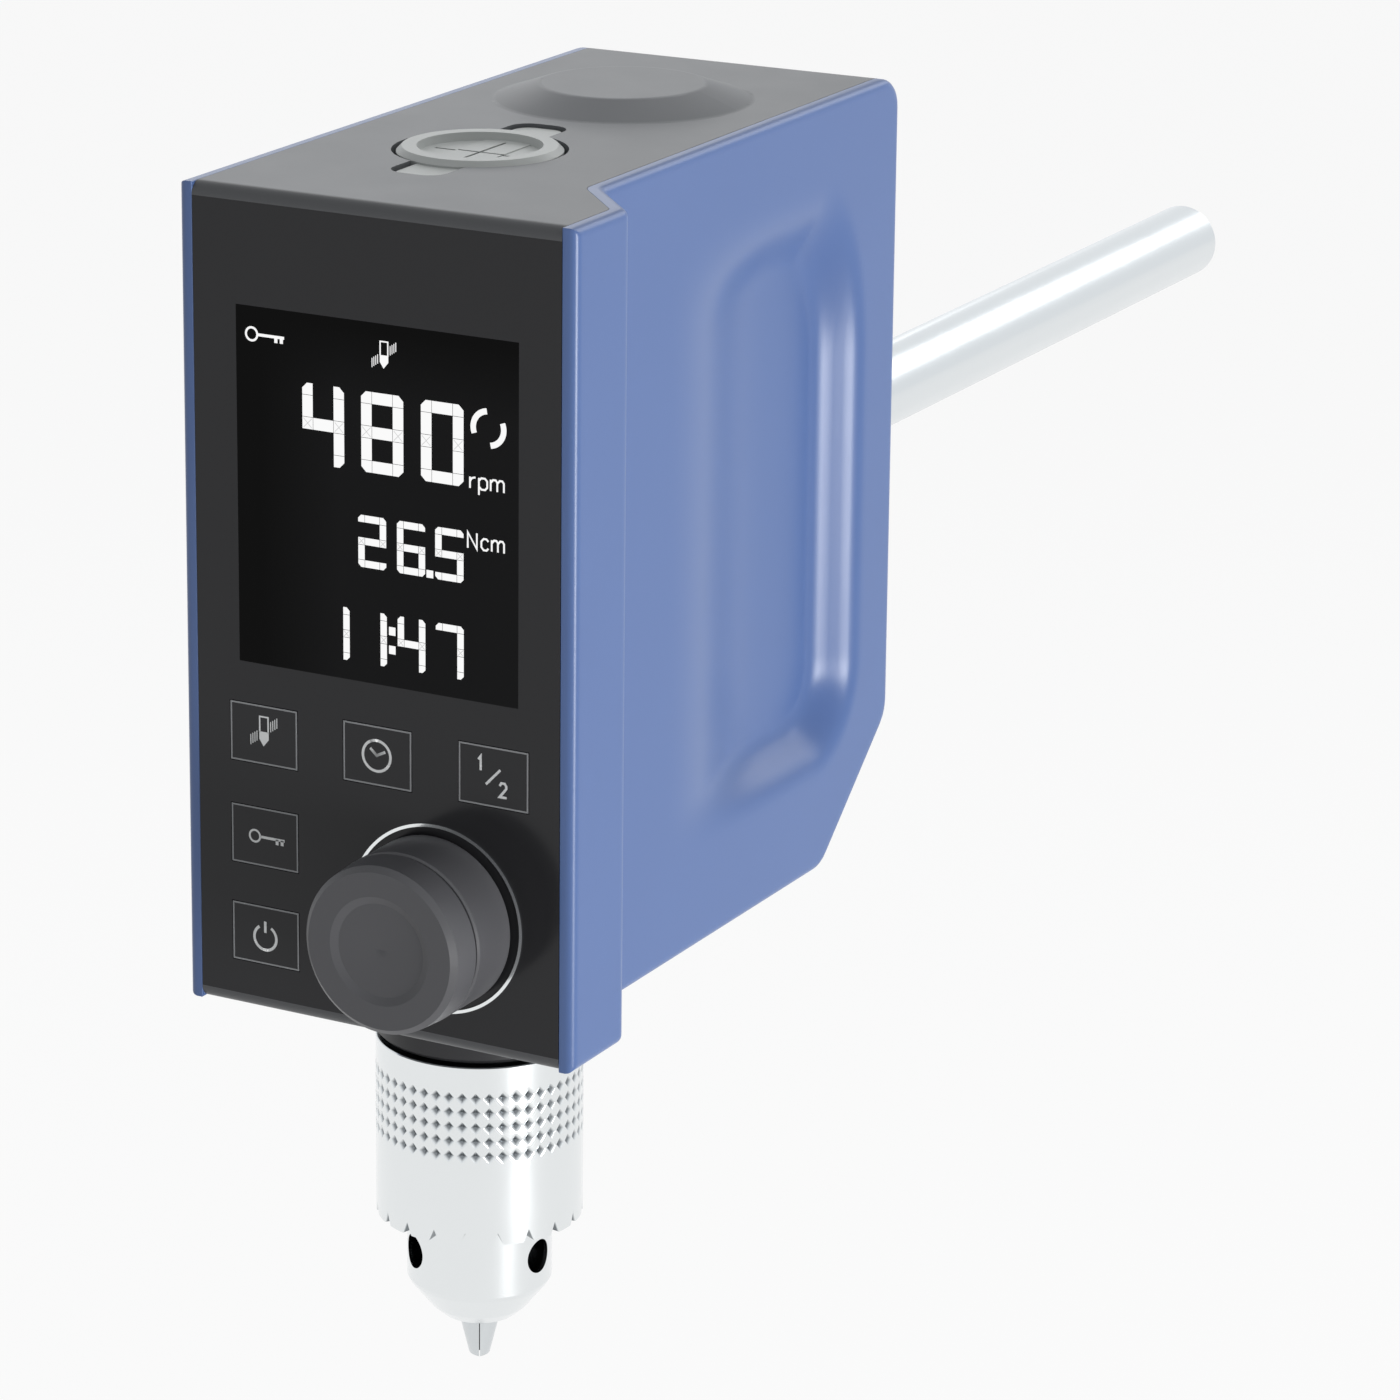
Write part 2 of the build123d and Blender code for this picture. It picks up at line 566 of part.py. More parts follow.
save(frame.part, "bearing_frame")

with BuildPart() as boom_lock:
    add(tube(0, BOOM_LOCK_Y, -BOSS_R - 2, -BOOM_SPIGOT_R, 1.95))
save(boom_lock.part, "boom_lock_screw")

with BuildPart() as boom:
    add(rod(0, 0, -BOOM_IN, 0, BOOM_SPIGOT_R))
    add(rod(0, 0, 0, BOOM_OUT, BOOM_R))
    chamfer(boom.edges().filter_by(GeomType.CIRCLE).sort_by(Axis.Y)[-1], 0.6)
save(boom.part, "boom")

# ---- motor, pulleys and belt ----
with BuildPart() as can:
    add(tube(0, MOTOR_Y, MOTOR_LOW, UPPER_Z, MOTOR_R, MOTOR_R - 1.6))
    add(tube(0, MOTOR_Y, UPPER_Z - 3, UPPER_Z, MOTOR_R, MOTOR_SHAFT_R + 0.5))
    add(tube(0, MOTOR_Y, UPPER_Z, UPPER_Z + PLATE_T / 2, SHAFT_R, MOTOR_SHAFT_R + RUN))
    for side in (-1, 1):
        add(tube(side * MOTOR_SCREW_X, MOTOR_Y, UPPER_Z - 4, UPPER_Z + 1, 1.3), mode=Mode.SUBTRACT)
save(can.part, "motor_can")

with BuildPart() as bell:
    add(tube(0, MOTOR_Y, MOTOR_LOW - BELL_T, MOTOR_LOW, MOTOR_R - 0.4, MOTOR_SHAFT_R + RUN))
    add(tube(0, MOTOR_Y, MOTOR_LOW - BELL_T - BELL_BOSS, MOTOR_LOW - BELL_T, SHAFT_R))
save(bell.part, "motor_end_bell")

with BuildPart() as rotor:
    add(tube(0, MOTOR_Y, MOTOR_LOW + ROTOR_UP, UPPER_Z - ROTOR_DOWN, MOTOR_R - ROTOR_IN))
    add(tube(0, MOTOR_Y, MOTOR_LOW - BELL_T + 0.2, PULLEY_Z + PULLEY_H + 1, MOTOR_SHAFT_R))
save(rotor.part, "motor_rotor")

with BuildPart() as motor_screws:
    for side in (-1, 1):
        add(tube(side * MOTOR_SCREW_X, MOTOR_Y, UPPER_Z - 2.5, PLATE_TOP, 1.25))
        add(tube(side * MOTOR_SCREW_X, MOTOR_Y, PLATE_TOP, PLATE_TOP + 2, 2.6))
save(motor_screws.part, "motor_screws")


def pulley(y, r, bore):
    """Flanged belt pulley."""
    top = PULLEY_Z + PULLEY_H
    rim = r + PULLEY_RIM
    return lathe([(bore, PULLEY_Z), (rim, PULLEY_Z), (rim, PULLEY_Z + 0.8), (r, PULLEY_Z + 0.8),
                  (r, top - 0.8), (rim, top - 0.8), (rim, top), (bore, top)], y)


def belt_loop(grow):
    """Sketch round both pulleys, standing off them by grow."""
    r1 = SPINDLE_PULLEY_R + grow
    r2 = MOTOR_PULLEY_R + grow
    lean = math.asin((r1 - r2) / (MOTOR_Y - SPIN_Y))
    c, s = math.cos(lean), math.sin(lean)
    with BuildSketch() as loop:
        with Locations((0, SPIN_Y)):
            Circle(r1)
        with Locations((0, MOTOR_Y)):
            Circle(r2)
        Polygon((r1 * c, SPIN_Y + r1 * s), (r2 * c, MOTOR_Y + r2 * s),
                (-r2 * c, MOTOR_Y + r2 * s), (-r1 * c, SPIN_Y + r1 * s), align=None)
    return loop.sketch


save(pulley(SPIN_Y, SPINDLE_PULLEY_R, SHAFT_R), "spindle_pulley")
save(pulley(MOTOR_Y, MOTOR_PULLEY_R, MOTOR_SHAFT_R), "motor_pulley")
with BuildPart() as belt:
    with BuildSketch(Plane.XY.offset(PULLEY_Z + 1.0)):
        add(belt_loop(BELT_T))
        add(belt_loop(0.06), mode=Mode.SUBTRACT)
    extrude(amount=PULLEY_H - 2.0)
save(belt.part, "drive_belt")

# ---- spindle and its bearings ----
BODY_TOP = SLEEVE_TOP + 0.1
SHAFT_LOW = JAW_LOW + (SHAFT_R + JAW_CLEAR + 2 * JAW_R / COS_JAW - JAW_TIP_R) / TAN_JAW
BEARING_LOW = COLLAR_LOW + 2.0
with BuildPart() as shaft:
    add(tube(0, SPIN_Y, SHAFT_LOW, CAP_SEAT - SEAT_T - 2.0, SHAFT_R, SHAFT_BORE))
save(shaft.part, "hollow_shaft")

save(tube(0, SPIN_Y, UPPER_Z, PLATE_TOP, BEARING_R, SHAFT_R + RUN), "upper_bearing")
save(tube(0, SPIN_Y, BEARING_LOW, BEARING_LOW + BEARING_H, BEARING_R, SHAFT_R + RUN), "lower_bearing")

collar_points = [(SHAFT_R + 1, COLLAR_LOW), (COLLAR_R - 0.6, COLLAR_LOW), (COLLAR_R, COLLAR_LOW + 0.6),
                 (COLLAR_R, BOTTOM), (COLLAR_NECK_R, BOTTOM), (COLLAR_NECK_R, BOTTOM + WALL + 1.5),
                 (BEARING_R, BOTTOM + WALL + 1.5), (BEARING_R, BEARING_LOW), (SHAFT_R + 1, BEARING_LOW)]
save(lathe(collar_points, SPIN_Y), "collar")

# ---- chuck: body, toothed sleeve with its nut, three slanted jaws ----
NUT_LOW = SLEEVE_LOW + 1.7
NUT_TOP = NUT_LOW + NUT_H


def jaw_out(z):
    """Radius of the jaws' outer line at height z."""
    return JAW_TIP_R + (z - JAW_LOW) * TAN_JAW


def jaw_bar(r, z0, z1):
    """Slanted bar whose outer line follows jaw_out, in the XZ plane through the axis."""
    with BuildPart() as bar:
        Cylinder(r, (z1 - z0) / COS_JAW, align=(Align.CENTER, Align.CENTER, Align.MIN))
    return bar.part.moved(Location((jaw_out(z0) - JAW_R / COS_JAW, 0, z0), (0, JAW_ANGLE, 0)))


jaw_hole = jaw_bar(JAW_R + RUN, JAW_LOW - 3, JAW_TOP + JAW_TRAVEL + 2.5)
key_hole = Location((NOSE_R - KEYHOLE_IN, 0, SLEEVE_LOW - KEYHOLE_DROP), (0, 90, 0)) * Cylinder(
    KEYHOLE_R, KEYHOLE_L, align=(Align.CENTER, Align.CENTER, Align.MIN))
body_r = SLEEVE_BORE - 0.05
body_points = [(SHAFT_BORE, BODY_TOP), (body_r - 0.5, BODY_TOP), (body_r, BODY_TOP - 0.5),
               (body_r, NUT_TOP + 0.3), (NECK_R, NUT_TOP + 0.3), (NECK_R, NUT_LOW - 0.2),
               (NOSE_R, NUT_LOW - 0.2), (NOSE_R, NOSE_LOW + 0.8), (NOSE_R * 0.96, NOSE_LOW),
               (NOSE_R * 0.68, NOSE_LOW - CONE_H * 0.6), (NOSE_R * 0.52, NOSE_LOW - CONE_H * 0.84),
               (NOSE_TIP_R, CONE_LOW), (SHAFT_BORE - 1.5, CONE_LOW), (SHAFT_BORE, CONE_LOW + BORE_TAPER)]
with BuildPart() as chuck_body:
    add(lathe(body_points, 0))
    add(tube(0, 0, SHAFT_LOW, BODY_TOP + 1, SHAFT_R), mode=Mode.SUBTRACT)
    for k in range(3):
        add(jaw_hole.rotate(Axis.Z, 120 * k), mode=Mode.SUBTRACT)
        add(key_hole.rotate(Axis.Z, 120 * k - 5), mode=Mode.SUBTRACT)
save(chuck_body.part.moved(Location((0, SPIN_Y, 0))), "chuck_body")

with BuildPart() as tooth_gap:
    with BuildSketch(Plane.YZ.offset(NOSE_R + 1.2)):
        Polygon((-TOOTH_GAP / 2, SLEEVE_LOW - FIT), (TOOTH_GAP / 2, SLEEVE_LOW - FIT),
                (0, SLEEVE_LOW + TOOTH_H), align=None)
    extrude(amount=SLEEVE_R)
sleeve_points = [(SLEEVE_BORE, SLEEVE_TOP), (SLEEVE_R - 0.5, SLEEVE_TOP), (SLEEVE_R, SLEEVE_TOP - 0.5),
                 (SLEEVE_R, SLEEVE_LOW), (NOSE_R + 0.15, SLEEVE_LOW), (NOSE_R + 0.15, NUT_LOW),
                 (NUT_R, NUT_LOW), (NUT_R, NUT_TOP + FIT), (SLEEVE_BORE, NUT_TOP + FIT)]
with BuildPart() as sleeve:
    add(lathe(sleeve_points, 0))
    for k in range(TEETH):
        add(tooth_gap.part.rotate(Axis.Z, 360.0 / TEETH * k - 49.8), mode=Mode.SUBTRACT)
save(sleeve.part.moved(Location((0, SPIN_Y, 0))), "chuck_sleeve")

nut_points = [(jaw_out(NUT_LOW) + FIT, NUT_LOW), (NUT_R, NUT_LOW), (NUT_R, NUT_TOP),
              (jaw_out(NUT_TOP) + FIT, NUT_TOP)]
with BuildPart() as nut:
    add(lathe(nut_points, 0))
    add(box(-FIT, FIT, -SLEEVE_R, SLEEVE_R, NUT_LOW - 1, NUT_TOP + 1), mode=Mode.SUBTRACT)
save(nut.part.moved(Location((0, SPIN_Y, 0))), "chuck_nut")

tip = SLIT / math.sin(math.radians(60))
far = tip + 2 * SLEEVE_R
wedge = [(tip, 0), (far, (far - tip) * math.tan(math.radians(60))),
         (far, (tip - far) * math.tan(math.radians(60)))]
with BuildPart() as jaw:
    add(jaw_bar(JAW_R, JAW_LOW - 4, JAW_TOP + 4))
    add(plan_prism(wedge, JAW_LOW, JAW_TOP), mode=Mode.INTERSECT)
    add(tube(0, 0, JAW_LOW - 1, JAW_LOW + GRIP_LEN, GRIP_BORE), mode=Mode.SUBTRACT)
for k in range(3):
    save(jaw.part.rotate(Axis.Z, 120 * k).moved(Location((0, SPIN_Y, 0))), "jaw_" + str(k + 1))

# ---- cap over the hollow shaft, on a seat below the top ----
with BuildPart() as seat:
    add(tube(0, SPIN_Y, CAP_SEAT - SEAT_T, CAP_SEAT, CAP_LOBE_L + 1.6, CAP_DISH_R + 0.6))
save(seat.part, "cap_seat")

cap_low = CAP_SEAT + RUN / 2
cap_points = [(0, cap_low), (CAP_R, cap_low), (CAP_R, TOP - 0.2), (CAP_R - 0.8, TOP + CAP_RISE),
              (CAP_DISH_R + 0.3, TOP + CAP_RISE), (CAP_DISH_R, TOP - CAP_RISE), (0, TOP - CAP_RISE)]
with BuildPart() as cap:
    with BuildSketch(Plane.XY.offset(cap_low)):
        with Locations((0, SPIN_Y)):
            RectangleRounded(CAP_LOBE_W, 2 * CAP_LOBE_L, CAP_LOBE_R)
    extrude(amount=WALL - 0.5)
    add(lathe(cap_points, SPIN_Y))
    add(tube(0, SPIN_Y, CAP_SEAT - SEAT_T + 0.4, cap_low, CAP_DISH_R, CAP_DISH_R - 1.5))
    for w, h in ((CAP_SLIT_L, CAP_SLIT_W), (CAP_SLIT_W, CAP_SLIT_L)):
        add(box(-w / 2, w / 2, SPIN_Y - h / 2, SPIN_Y + h / 2, TOP - CAP_RISE - 0.5, TOP + 1),
            mode=Mode.SUBTRACT)
save(cap.part, "shaft_cap")
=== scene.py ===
"""Looks of a small laboratory overhead stirrer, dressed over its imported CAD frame.

Metres, +Y along the boom, +Z up, the operating panel faces -Y.
"""
import bisect
import math

import bmesh
import bpy
from mathutils import Matrix, Vector


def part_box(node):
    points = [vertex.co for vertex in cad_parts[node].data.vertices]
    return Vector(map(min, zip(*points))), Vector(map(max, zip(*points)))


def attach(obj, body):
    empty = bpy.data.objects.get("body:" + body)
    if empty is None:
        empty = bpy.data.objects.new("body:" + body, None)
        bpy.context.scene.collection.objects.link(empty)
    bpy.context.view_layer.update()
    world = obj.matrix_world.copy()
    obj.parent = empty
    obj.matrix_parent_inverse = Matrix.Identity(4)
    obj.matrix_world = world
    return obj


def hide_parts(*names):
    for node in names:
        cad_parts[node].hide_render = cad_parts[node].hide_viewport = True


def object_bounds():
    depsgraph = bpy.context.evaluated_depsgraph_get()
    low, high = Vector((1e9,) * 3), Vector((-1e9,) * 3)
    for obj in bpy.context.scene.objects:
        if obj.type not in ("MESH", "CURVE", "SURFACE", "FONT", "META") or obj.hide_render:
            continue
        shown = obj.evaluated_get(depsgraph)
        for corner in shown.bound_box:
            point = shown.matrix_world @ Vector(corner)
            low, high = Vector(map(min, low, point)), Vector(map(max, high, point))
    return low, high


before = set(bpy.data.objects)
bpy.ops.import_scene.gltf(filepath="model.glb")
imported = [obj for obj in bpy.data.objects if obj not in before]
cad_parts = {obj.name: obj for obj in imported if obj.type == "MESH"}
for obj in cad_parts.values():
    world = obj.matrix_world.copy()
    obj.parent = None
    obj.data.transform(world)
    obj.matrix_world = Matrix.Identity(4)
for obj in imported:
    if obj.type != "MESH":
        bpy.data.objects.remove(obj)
cad_low, cad_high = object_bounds()
MM = 0.001

# ------------------------------------------------------------------ sizes, in mm unless noted
panel_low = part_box("front_panel")[0]
window_low, window_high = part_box("display_window")
sleeve_low, sleeve_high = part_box("chuck_sleeve")
PANEL_Y = panel_low.y
WINDOW = (window_low + window_high) / 2
FRONT = PANEL_Y / MM
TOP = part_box("side_shell_right")[1].z / MM
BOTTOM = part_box("side_shell_right")[0].z / MM
SPINDLE_Y = (sleeve_low.y + sleeve_high.y) / 2 / MM

# side shells
RIGHT_X = 28.0
STEP_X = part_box("side_shell_right")[1].x / MM
LEFT_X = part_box("side_shell_left")[0].x / MM
SHELL_T = 2.3
STEP_Y = 14.4
STEP_RUN = 10.2
CUT_Y = 22.0
CUT_Z = 19.0
CUT_R = 6.0
BACK_R = 5.0
EDGE_R = 1.25
SEAM = 0.12
KNEE_R = 2.0
HEEL_R = 3.5

# grip recess
GRIP_FRONT = -74.0
GRIP_RAMP = 42.0
GRIP_REAR = -10.0
GRIP_LOW = -41.0
GRIP_HIGH = 52.5
GRIP_CORNER = 1.75
GRIP_WALL = 9.0
GRIP_TOP_WALL = 17.0
GRIP_DEPTH = 5.45

# chuck sleeve
SLEEVE_R = (sleeve_high.x - sleeve_low.x) / 2 / MM
SLEEVE_TOP = sleeve_high.z / MM
SLEEVE_LOW = sleeve_low.z / MM
KNURLS = 48
KNURL_RISE = 2.28
KNURL_HIGH = SLEEVE_TOP - 3.7
KNURL_ROWS = 5
KNURL_DEPTH = 0.55
KNURL_REACH = 0.47
TEETH = 20
TOOTH_GAP = 1.7
TOOTH_H = 2.0


# ------------------------------------------------------------------ colours and nodes
def colour(hex_code):
    """Linear RGBA from an sRGB hex code."""
    values = [int(hex_code[i:i + 2], 16) / 255 for i in (1, 3, 5)]
    linear = [v / 12.92 if v <= 0.04045 else ((v + 0.055) / 1.055) ** 2.4 for v in values]
    return (*linear, 1.0)


def add_node(tree, kind, settings=None, links=None):
    """A node with its settings; links maps an input to an output socket, a number or a colour."""
    made = tree.nodes.new(kind)
    for name, value in (settings or {}).items():
        setattr(made, name, value)
    for name, value in (links or {}).items():
        if isinstance(value, bpy.types.NodeSocket):
            tree.links.new(value, made.inputs[name])
        else:
            made.inputs[name].default_value = value
    return made


def new_material(name, hex_code, roughness, metallic=0.0, **sockets):
    """A Principled material; returns it with its tree and shader."""
    made = bpy.data.materials.new(name)
    made.use_nodes = True
    tree = made.node_tree
    shader = tree.nodes["Principled BSDF"]
    shader.inputs["Base Color"].default_value = colour(hex_code)
    shader.inputs["Roughness"].default_value = roughness
    shader.inputs["Metallic"].default_value = metallic
    for socket, value in sockets.items():
        shader.inputs[socket.replace("_", " ")].default_value = value
    return made, tree, shader


def grain(tree, shader, size_mm, height_mm, strength, tone=None, spread=0.0, stretch=(1, 1, 1)):
    """Fine surface grain: bump from noise of a real size, and a faint change of tone."""
    place = add_node(tree, "ShaderNodeTexCoord")
    scaled = add_node(tree, "ShaderNodeMapping", links={"Vector": place.outputs["Object"], "Scale": stretch})
    noise = add_node(tree, "ShaderNodeTexNoise", links={
        "Vector": scaled.outputs["Vector"], "Scale": 1000 / size_mm, "Detail": 2.0, "Roughness": 0.5})
    bump = add_node(tree, "ShaderNodeBump", links={
        "Height": noise.outputs["Fac"], "Strength": strength, "Distance": height_mm * MM})
    tree.links.new(bump.outputs["Normal"], shader.inputs["Normal"])
    if tone:
        broad = add_node(tree, "ShaderNodeTexNoise", links={
            "Vector": place.outputs["Object"], "Scale": 30.0, "Detail": 3.0})
        mix = add_node(tree, "ShaderNodeMix", {"data_type": "RGBA"}, {
            "Factor": broad.outputs["Fac"], "A": colour(tone[0]), "B": colour(tone[1])})
        tree.links.new(mix.outputs["Result"], shader.inputs["Base Color"])
    if spread:
        soft = add_node(tree, "ShaderNodeTexNoise", links={
            "Vector": place.outputs["Object"], "Scale": 120.0, "Detail": 4.0})
        base = shader.inputs["Roughness"].default_value
        span = add_node(tree, "ShaderNodeMapRange", links={
            "Value": soft.outputs["Fac"], "To Min": base - spread, "To Max": base + spread})
        tree.links.new(span.outputs["Result"], shader.inputs["Roughness"])


def tint(tree, shader, hex_code, limits):
    """A second colour where every limit holds; a limit runs from 0 at its first value to 1 at its second.

    A limit reads an axis of the piece, or the radius about the spindle.
    """
    place = add_node(tree, "ShaderNodeTexCoord")
    parts = add_node(tree, "ShaderNodeSeparateXYZ", links={"Vector": place.outputs["Object"]})
    flat = add_node(tree, "ShaderNodeVectorMath", {"operation": "MULTIPLY_ADD"}, {
        0: place.outputs["Object"], 1: (1, 1, 0), 2: (0, -SPINDLE_Y * MM, 0)})
    reach = add_node(tree, "ShaderNodeVectorMath", {"operation": "LENGTH"}, {0: flat.outputs["Vector"]})
    share = 1.0
    for axis, start, end in limits:
        value = reach.outputs["Value"] if axis == "radius" else parts.outputs[axis]
        ramp = add_node(tree, "ShaderNodeMapRange", links={
            "Value": value, "From Min": start, "From Max": end})
        share = add_node(tree, "ShaderNodeMath", {"operation": "MULTIPLY"}, {
            0: share, 1: ramp.outputs["Result"]}).outputs["Value"]
    base = shader.inputs["Base Color"]
    under = base.links[0].from_socket if base.is_linked else tuple(base.default_value)
    mix = add_node(tree, "ShaderNodeMix", {"data_type": "RGBA"}, {
        "Factor": share, "A": under, "B": colour(hex_code)})
    tree.links.new(mix.outputs["Result"], base)


# ------------------------------------------------------------------ materials
def moulded_abs_blue():
    """Blue ABS side shells, moulded in a fine spark-eroded tool: even satin, a soft wide gloss."""
    made, tree, shader = new_material("abs_blue_fine_satin", "#516B9F", 0.31, Specular_IOR_Level=0.45)
    grain(tree, shader, 0.22, 0.006, 0.3, tone=("#4F699D", "#536DA1"), spread=0.02)
    return made


def moulded_abs_grey():
    """Grey ABS wrap, moulded with a slightly coarser satin grain."""
    made, tree, shader = new_material("abs_grey_fine_satin", "#6E7073", 0.42, Specular_IOR_Level=0.4)
    grain(tree, shader, 0.25, 0.008, 0.35, tone=("#6B6D70", "#717376"), spread=0.03)
    # painted shade: the rolled lip round the operating foil is darkened by a tint near the front
    tint(tree, shader, "#4E4F51", [("Y", (FRONT + 2.3) * MM, (FRONT + 1.3) * MM)])
    return made


def gloss_foil():
    """Dark polycarbonate operating foil, printed from behind: smooth and glossy."""
    made, tree, shader = new_material("polycarbonate_foil_dark", "#2B2B2D", 0.15, Specular_IOR_Level=0.22)
    grain(tree, shader, 0.5, 0.002, 0.1, spread=0.015)
    return made


def display_acrylic():
    """Smoked acrylic over the display: near black, polished."""
    made, tree, shader = new_material("acrylic_smoked_polished", "#171718", 0.08, Specular_IOR_Level=0.06)
    grain(tree, shader, 0.8, 0.001, 0.1, spread=0.01)
    # painted shade: the acrylic is darkened towards its left and upper edges
    tint(tree, shader, "#030303", [("X", WINDOW.x - 6 * MM, window_low.x + 4 * MM)])
    tint(tree, shader, "#030303", [("Z", window_high.z - 12 * MM, window_high.z - 1 * MM)])
    return made


def knob_elastomer():
    """Dark grey soft-touch elastomer over the knob: matt with a faint sheen."""
    made, tree, shader = new_material("elastomer_soft_touch_grey", "#535356", 0.42, Specular_IOR_Level=0.4)
    grain(tree, shader, 0.18, 0.006, 0.3, tone=("#515154", "#565659"), spread=0.03)
    return made


def satin_chrome(name, inside, shade, top, roughness=0.17):
    """Satin chrome plate on turned steel: faint rings round the axis; recesses get painted shade, a darker
    colour inside a radius and above a height.
    """
    made, tree, shader = new_material(name, "#E4E7E8", roughness, 1.0)
    grain(tree, shader, 0.35, 0.003, 0.2, spread=0.03, stretch=(0.2, 0.2, 3.0))
    # painted shade: darker colour inside the given radius and above the given height
    tint(tree, shader, shade, [("radius", inside * MM, (inside - 0.25) * MM),
                               ("Z", top * MM, (top + 0.1) * MM)])
    return made


def ground_steel(name="stainless_ground", hex_code="#DEE2E4", roughness=0.24, stretch=(1, 0.1, 1)):
    """Ground stainless steel with fine drawn lines along one way."""
    made, tree, shader = new_material(name, hex_code, roughness, 1.0)
    grain(tree, shader, 0.3, 0.003, 0.25, spread=0.04, stretch=stretch)
    return made


def jaw_steel():
    """Ground tool steel jaws, darkened with painted shade where they meet on the axis."""
    made, tree, shader = new_material("tool_steel_ground", "#D2D6D8", 0.28, 1.0)
    grain(tree, shader, 0.3, 0.003, 0.25, spread=0.04, stretch=(1, 1, 0.15))
    tint(tree, shader, "#1C1C1D", [("radius", 1.35 * MM, 1.05 * MM)])
    return made


def dark_anodised():
    """Black anodised aluminium, turned."""
    made, tree, shader = new_material("aluminium_black_anodised", "#2B2B2D", 0.4, 0.0,
                                      Specular_IOR_Level=0.35)
    grain(tree, shader, 0.3, 0.004, 0.25, spread=0.03, stretch=(0.3, 0.3, 3.0))
    return made


def cap_plastic():
    """Light grey polyamide cap, moulded with a silky surface."""
    made, tree, shader = new_material("polyamide_grey_silky", "#BFC2C0", 0.4, Specular_IOR_Level=0.4)
    grain(tree, shader, 0.25, 0.006, 0.3, tone=("#BCBFBD", "#C2C5C3"), spread=0.03)
    # painted shade: the crossed slit is darkened inside its radius and below the rim
    tint(tree, shader, "#2B2C2C", [("radius", 7.7 * MM, 7.6 * MM), ("Z", (TOP - 0.7) * MM, (TOP - 0.8) * MM)])
    return made


def plain_plastic(name, hex_code, roughness=0.5):
    """Unseen or small moulded parts: simple matt plastic with a light grain."""
    made, tree, shader = new_material(name, hex_code, roughness)
    grain(tree, shader, 0.3, 0.006, 0.3, spread=0.04)
    return made


def cast_aluminium():
    """Cast and milled aluminium inside the housing."""
    made, tree, shader = new_material("aluminium_cast", "#A9ABAC", 0.42, 1.0)
    grain(tree, shader, 0.5, 0.02, 0.4, spread=0.06)
    return made


def solder_mask():
    """Green solder mask on glass-fibre board."""
    made, tree, shader = new_material("fibreboard_solder_mask", "#1E5A34", 0.35)
    grain(tree, shader, 0.4, 0.004, 0.3, tone=("#1C5631", "#215F38"), spread=0.04)
    return made


def belt_rubber():
    """Black neoprene belt, fabric backed."""
    made, tree, shader = new_material("neoprene_black", "#1B1B1C", 0.7)
    grain(tree, shader, 0.3, 0.01, 0.5, spread=0.05)
    return made


def lit_segment(name, level):
    """White backlit segments behind the acrylic."""
    made, tree, shader = new_material(name, "#202020", 0.5, Specular_IOR_Level=0.0)
    shader.inputs["Emission Color"].default_value = colour("#FFFFFF")
    shader.inputs["Emission Strength"].default_value = level
    return made


def screen_ink(name, hex_code):
    """Screen-printed ink on the foil, very thin and matt."""
    made, tree, shader = new_material(name, hex_code, 0.55)
    grain(tree, shader, 0.2, 0.002, 0.2, spread=0.03)
    return made


BLUE = moulded_abs_blue()
GREY = moulded_abs_grey()
FOIL = gloss_foil()
ACRYLIC = display_acrylic()
KNOB = knob_elastomer()
# the knurl pits and inner faces of the sleeve, and the bore of the chuck body, carry painted shade
CHROME = satin_chrome("chrome_satin_knurled", SLEEVE_R - 0.06, "#85898C", SLEEVE_LOW - 5)
RING_CHROME = satin_chrome("chrome_bright_ring", 0.0, "#85898C", SLEEVE_LOW, 0.12)
CHUCK_STEEL = satin_chrome("chrome_satin_bored", 10.4, "#4A4B4D", SLEEVE_LOW - 9.2)
BOOM_STEEL = ground_steel()
JAW_STEEL = jaw_steel()
SHAFT_STEEL = ground_steel("bearing_steel_ground", "#A8ACAE", 0.25, (1, 1, 4))
SCREW_STEEL = ground_steel("steel_zinc_plated", "#8E9194", 0.35, (1, 1, 1))
COLLAR = dark_anodised()
CAP = cap_plastic()
BLACK = plain_plastic("polyamide_black", "#161617", 0.5)
MODULE = plain_plastic("display_module_white", "#B9BABB", 0.6)
ALLOY = cast_aluminium()
BOARD = solder_mask()
BELT = belt_rubber()
LIT = lit_segment("backlight_white", 0.95)
UNLIT = lit_segment("backlight_joint_grey", 0.6)
INK = screen_ink("ink_mid_grey", "#8F9092")
INK_WHITE = screen_ink("ink_white", "#E4E5E5")

finish_of = {
    "side_shell_left": BLUE, "side_shell_right": BLUE, "centre_shell": GREY, "rear_cover": GREY,
    "cap_seat": GREY, "front_panel": FOIL, "display_window": ACRYLIC, "display_module": MODULE,
    "key_stir": FOIL, "key_timer": FOIL, "key_display": FOIL, "key_lock": FOIL, "key_power": FOIL,
    "knob_skirt": KNOB, "knob_cap": KNOB, "knob_ring": RING_CHROME, "chuck_body": CHUCK_STEEL,
    "chuck_sleeve": CHROME, "jaw_1": JAW_STEEL, "jaw_2": JAW_STEEL, "jaw_3": JAW_STEEL,
    "chuck_nut": SHAFT_STEEL, "hollow_shaft": SHAFT_STEEL, "upper_bearing": SHAFT_STEEL,
    "lower_bearing": SHAFT_STEEL, "boom": BOOM_STEEL, "collar": COLLAR, "shaft_cap": CAP,
    "bearing_frame": ALLOY, "spindle_pulley": ALLOY, "motor_pulley": ALLOY, "motor_can": SCREW_STEEL,
    "motor_rotor": SHAFT_STEEL, "motor_end_bell": BLACK, "motor_screws": SCREW_STEEL,
    "board_screws": SCREW_STEEL, "rear_screws": SCREW_STEEL, "boom_lock_screw": SCREW_STEEL,
    "drive_belt": BELT, "control_board": BOARD, "key_switches": BLACK, "encoder": SCREW_STEEL,
    "encoder_stem": SCREW_STEEL, "encoder_plunger": SCREW_STEEL, "power_inlet": BLACK,
    "data_port": SHAFT_STEEL,
}
for node_name, node_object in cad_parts.items():
    node_object.data.materials.clear()
    node_object.data.materials.append(finish_of[node_name])


